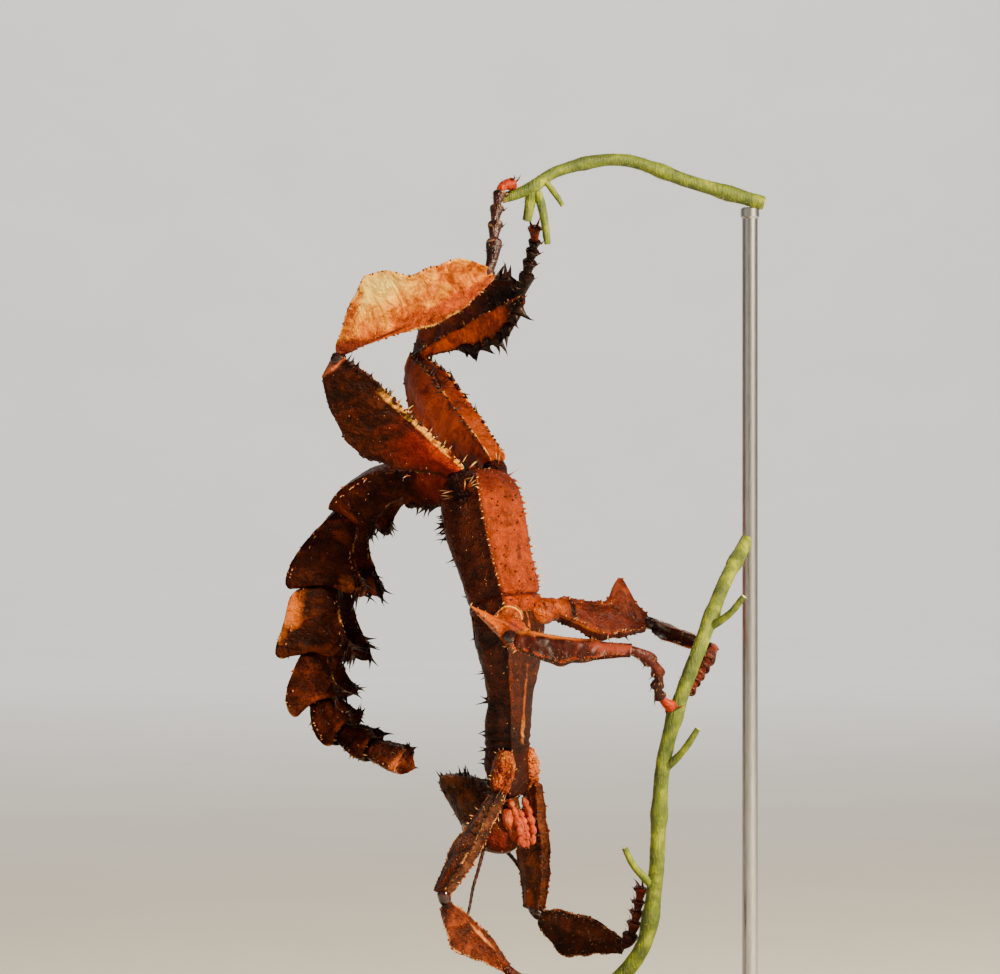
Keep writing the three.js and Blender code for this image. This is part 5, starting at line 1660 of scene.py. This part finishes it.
def palp_part(spec, side):
    """One beaded feeding palp, hanging in an arc from beside the mouth."""
    (back, height), (out, drop), radius = spec["root"], spec["reach"], spec["radius"]
    points = []
    for part in PALP_STEPS:
        bulge = math.sin(math.pi * 0.62 * part) * out
        points.append(in_body(back - bulge, height + drop * part, side * (spec["side"] - 0.3 * part)))
    line = FreeLine(points)
    rows = [(0, 0.5 * radius)]
    for start, end, size in PALP_JOINTS:
        for part, waist in PALP_RINGS:
            rows.append(((start + part * (end - start)) * line.length, size * waist * radius))
    rows.append((line.length, 0.3 * radius))
    piece = ring_stack("palp", ROUND, round_rings(rows))
    smooth_out(piece, 2, ((0.8, 0.08),))
    mark(piece, 0, line.length)
    set_coords(piece, line.lay(coords_of(piece)))
    return piece


def mouth():
    """Upper lip, jaws and two pairs of beaded feeding palps."""
    pieces = [mouth_part("lip", LIP, 0.15, basis(in_body(-1.9, 50.6), UP, BACK))]
    for side in (-1, 1):
        place = basis(in_body(-2.0, 52.6, side * 2.4), UP + LEFT * 0.2 * side, BACK)
        pieces.append(mouth_part("jaw", JAW, 0.12, place))
        pieces += [palp_part(spec, side) for spec in PALPS]
    piece = join("mouthparts", pieces)
    settle(piece, finish["mouth"], ["mouthparts"])
    scatter(hairs, piece, 160, 0.5, 0.03)


# ---------- twigs and stand ----------

# radius is that of each end, knots are parts of the length, down counts the hairs and twiglets are
# short side twigs, as (line, radius).
TWIGS = {
    "perch_top": {
        "line": [(-1, -4, 159.4), (3.9, -3.6, 161.2), (9.4, -1.6, 164.6), (20, 0.6, 166.4), (32, 1.6, 162.6),
                 (44.5, 2.2, 159)],
        "radius": (1.1, 1.5),
        "knots": (0.12, 0.34, 0.62, 0.86), "down": 900,
        "twiglets": [
            ([(4.2, -3.5, 161.2), (3.9, -3.2, 158.4), (3.4, -3.2, 155.6)], (1.2, 0.95)),
            ([(5.2, -3.4, 160.8), (6.2, -3.6, 157), (7, -3.8, 151.6)], (1.0, 0.7)),
            ([(6.6, -3, 162.6), (8.6, -3.4, 159.8), (9.6, -3.6, 158.2)], (0.7, 0.5)),
        ],
    },
    "perch_side": {
        "line": [(3, -4.4, 15.6), (9.2, -5, 18.6), (17.4, -8, 24.6), (23.2, -10, 32), (25.2, -12, 43.3),
                 (25.7, -14, 53.6), (26.5, -15.4, 63.8), (29.2, -16.2, 74), (33, -15, 84), (37, -9, 93.5),
                 (41.6, 2, 101)],
        "radius": (1.7, 1.4),
        "knots": (0.1, 0.3, 0.47, 0.63, 0.8, 0.93), "down": 700,
        "twiglets": [
            ([(26.4, -15.2, 62), (29.6, -17.4, 65.4), (32.2, -18.6, 69.4)], (0.9, 0.6)),
            ([(25, -12, 42), (21.6, -13.6, 45.6), (19.8, -14.6, 49)], (0.9, 0.6)),
            ([(34, -14, 86), (37.6, -16, 88.6), (40, -17, 91.6)], (0.9, 0.6)),
        ],
    },
}

# How far the edge of a cut end is eased along the twig, and the size of the face that is left.
CUT_END = {"ease": 0.12, "size": 0.86}


def stem(name, points, radius, knots):
    """A twig cut at both ends, with a swelling at each knot."""
    line = FreeLine(points)
    count = max(8, int(line.length / 1.6))
    rows = []
    for step in range(count + 1):
        part = step / count
        width = radius[0] + (radius[1] - radius[0]) * part
        for knot in knots:
            width *= 1 + 0.28 * math.exp(-(((part - knot) * line.length / 1.3) ** 2))
        rows.append((part * line.length, width))
    (start, first), (end, last) = rows[0], rows[-1]
    rows[0] = (start + CUT_END["ease"], first)
    rows[-1] = (end - CUT_END["ease"], last)
    rows = [(0.0, CUT_END["size"] * first), *rows, (line.length, CUT_END["size"] * last)]
    rings = round_rings(rows)
    piece = ring_stack(name, ROUND[::2], rings)
    smooth_out(piece, 2, ((2.0, 0.18), (0.7, 0.1)))
    mark(piece, 0, line.length)
    x = coords_of(piece)[:, 0]
    near_end = CUT_END["ease"] / 2
    keep(piece.data, "rim", (x < near_end) | (x > line.length - near_end))
    set_coords(piece, line.lay(coords_of(piece)))
    return piece


def twig(name, spec):
    pieces = [stem(name, spec["line"], spec["radius"], spec["knots"])]
    for points, radius in spec["twiglets"]:
        pieces.append(stem(f"{name}_spur", points, radius, ()))
    piece = join(name, pieces)
    settle(piece, finish["bark"], [name])
    scatter(down, piece, spec["down"], 0.5, 0.025)


RODS = [
    {"name": "stand_rod_tall", "place": (42, 2), "top": 158.6},
    {"name": "stand_rod_short", "place": (9.2, -5), "top": 17.6},
]
# The collar's own size, and how much of a rod's height is not the plain shaft.
ROD_FOOT = {"radius": 3.2, "high": 1.6}
ROD_ENDS = 4.3
BASE = {"long": 104, "deep": 76, "high": 8, "corner": 7, "edge": 1.1}


def shape_object(name):
    """Makes the size and place of the object that was just added its mesh's own."""
    piece = bpy.context.object
    piece.name = name
    bpy.ops.object.transform_apply(location=True, rotation=True, scale=True)
    bpy.ops.object.mode_set(mode="EDIT")
    return piece


def bevel_edges(piece, test, offset, segments):
    bpy.ops.mesh.select_all(action="DESELECT")
    data = bmesh.from_edit_mesh(piece.data)
    for edge in data.edges:
        edge.select_set(test(edge))
    bmesh.update_edit_mesh(piece.data)
    bpy.ops.mesh.bevel(offset=offset * MM, segments=segments, affect="EDGES")


def stand():
    """A stained wooden base with eased edges, and two steel rods, each with a collar and a cup."""
    nothing_selected()
    bpy.ops.mesh.primitive_cube_add(size=1, location=(0, 0, BASE["high"] / 2 * MM))
    bpy.context.object.scale = (BASE["long"] * MM, BASE["deep"] * MM, BASE["high"] * MM)
    base = shape_object("stand_base")
    top = BASE["high"] * MM

    def is_upright(edge):
        return abs(edge.verts[0].co.z - edge.verts[1].co.z) > top / 2

    def is_on_top(edge):
        return all(abs(vert.co.z - top) < SAME * MM for vert in edge.verts)

    bevel_edges(base, is_upright, BASE["corner"], 10)
    bevel_edges(base, is_on_top, BASE["edge"], 5)
    bpy.ops.object.mode_set(mode="OBJECT")
    finish_hard(base, finish["wood"], "stand_base")
    for spec in RODS:
        rod(spec)


def rod(spec):
    nothing_selected()
    x, y = spec["place"]
    bottom, foot_high = BASE["high"], ROD_FOOT["high"]
    bpy.ops.mesh.primitive_cylinder_add(
        vertices=48, radius=ROD_FOOT["radius"] * MM, depth=foot_high * MM,
        location=(x * MM, y * MM, (bottom + foot_high / 2) * MM))
    piece = shape_object(spec["name"])
    bpy.ops.mesh.select_all(action="DESELECT")
    pick(lambda p, at: p.z > (bottom + foot_high - 0.1) * MM)
    # the collar's eased edge, the rod itself and the cup at its top, as (rise, change of size)
    shaft = (spec["top"] - bottom - ROD_ENDS, 1.0)
    for rise, size in [(0.0, 0.9), (0.5, 0.72), (0.0, 0.66), shaft, (0.3, 1.2), (1.4, 1.0), (0.2, 0.8)]:
        bpy.ops.mesh.extrude_region_move(TRANSFORM_OT_translate={"value": (0, 0, rise * MM)})
        bpy.ops.transform.resize(value=(size, size, 1), center_override=(x * MM, y * MM, 0))
    bpy.ops.object.mode_set(mode="OBJECT")
    finish_hard(piece, finish["steel"], spec["name"])


def finish_hard(piece, material, name):
    piece.data.materials.clear()
    piece.data.materials.append(material)
    nothing_selected()
    piece.select_set(True)
    bpy.context.view_layer.objects.active = piece
    bpy.ops.object.shade_smooth_by_angle(angle=math.radians(35))
    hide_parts(name)
    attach(piece, "root")


# ---------- putting it together ----------

set_camera()
set_floor()
set_lights()

trunk()
wing_pads()
tail()
head()
mouth()
joint = foot_joint()
for name, spec in LEGS.items():
    leg(name, spec, joint)
bpy.data.objects.remove(joint)
for name, spec in TWIGS.items():
    twig(name, spec)
stand()
pale.plant("pale_thorns", THORN, finish["pale_thorn"], "lobes")
dark.plant("dark_thorns", THORN, finish["dark_thorn"], "dark")
hairs.plant("body_hairs", HAIR, finish["hair"], "lobes")
down.plant("twig_down", HAIR, finish["twig_hair"], "bark")
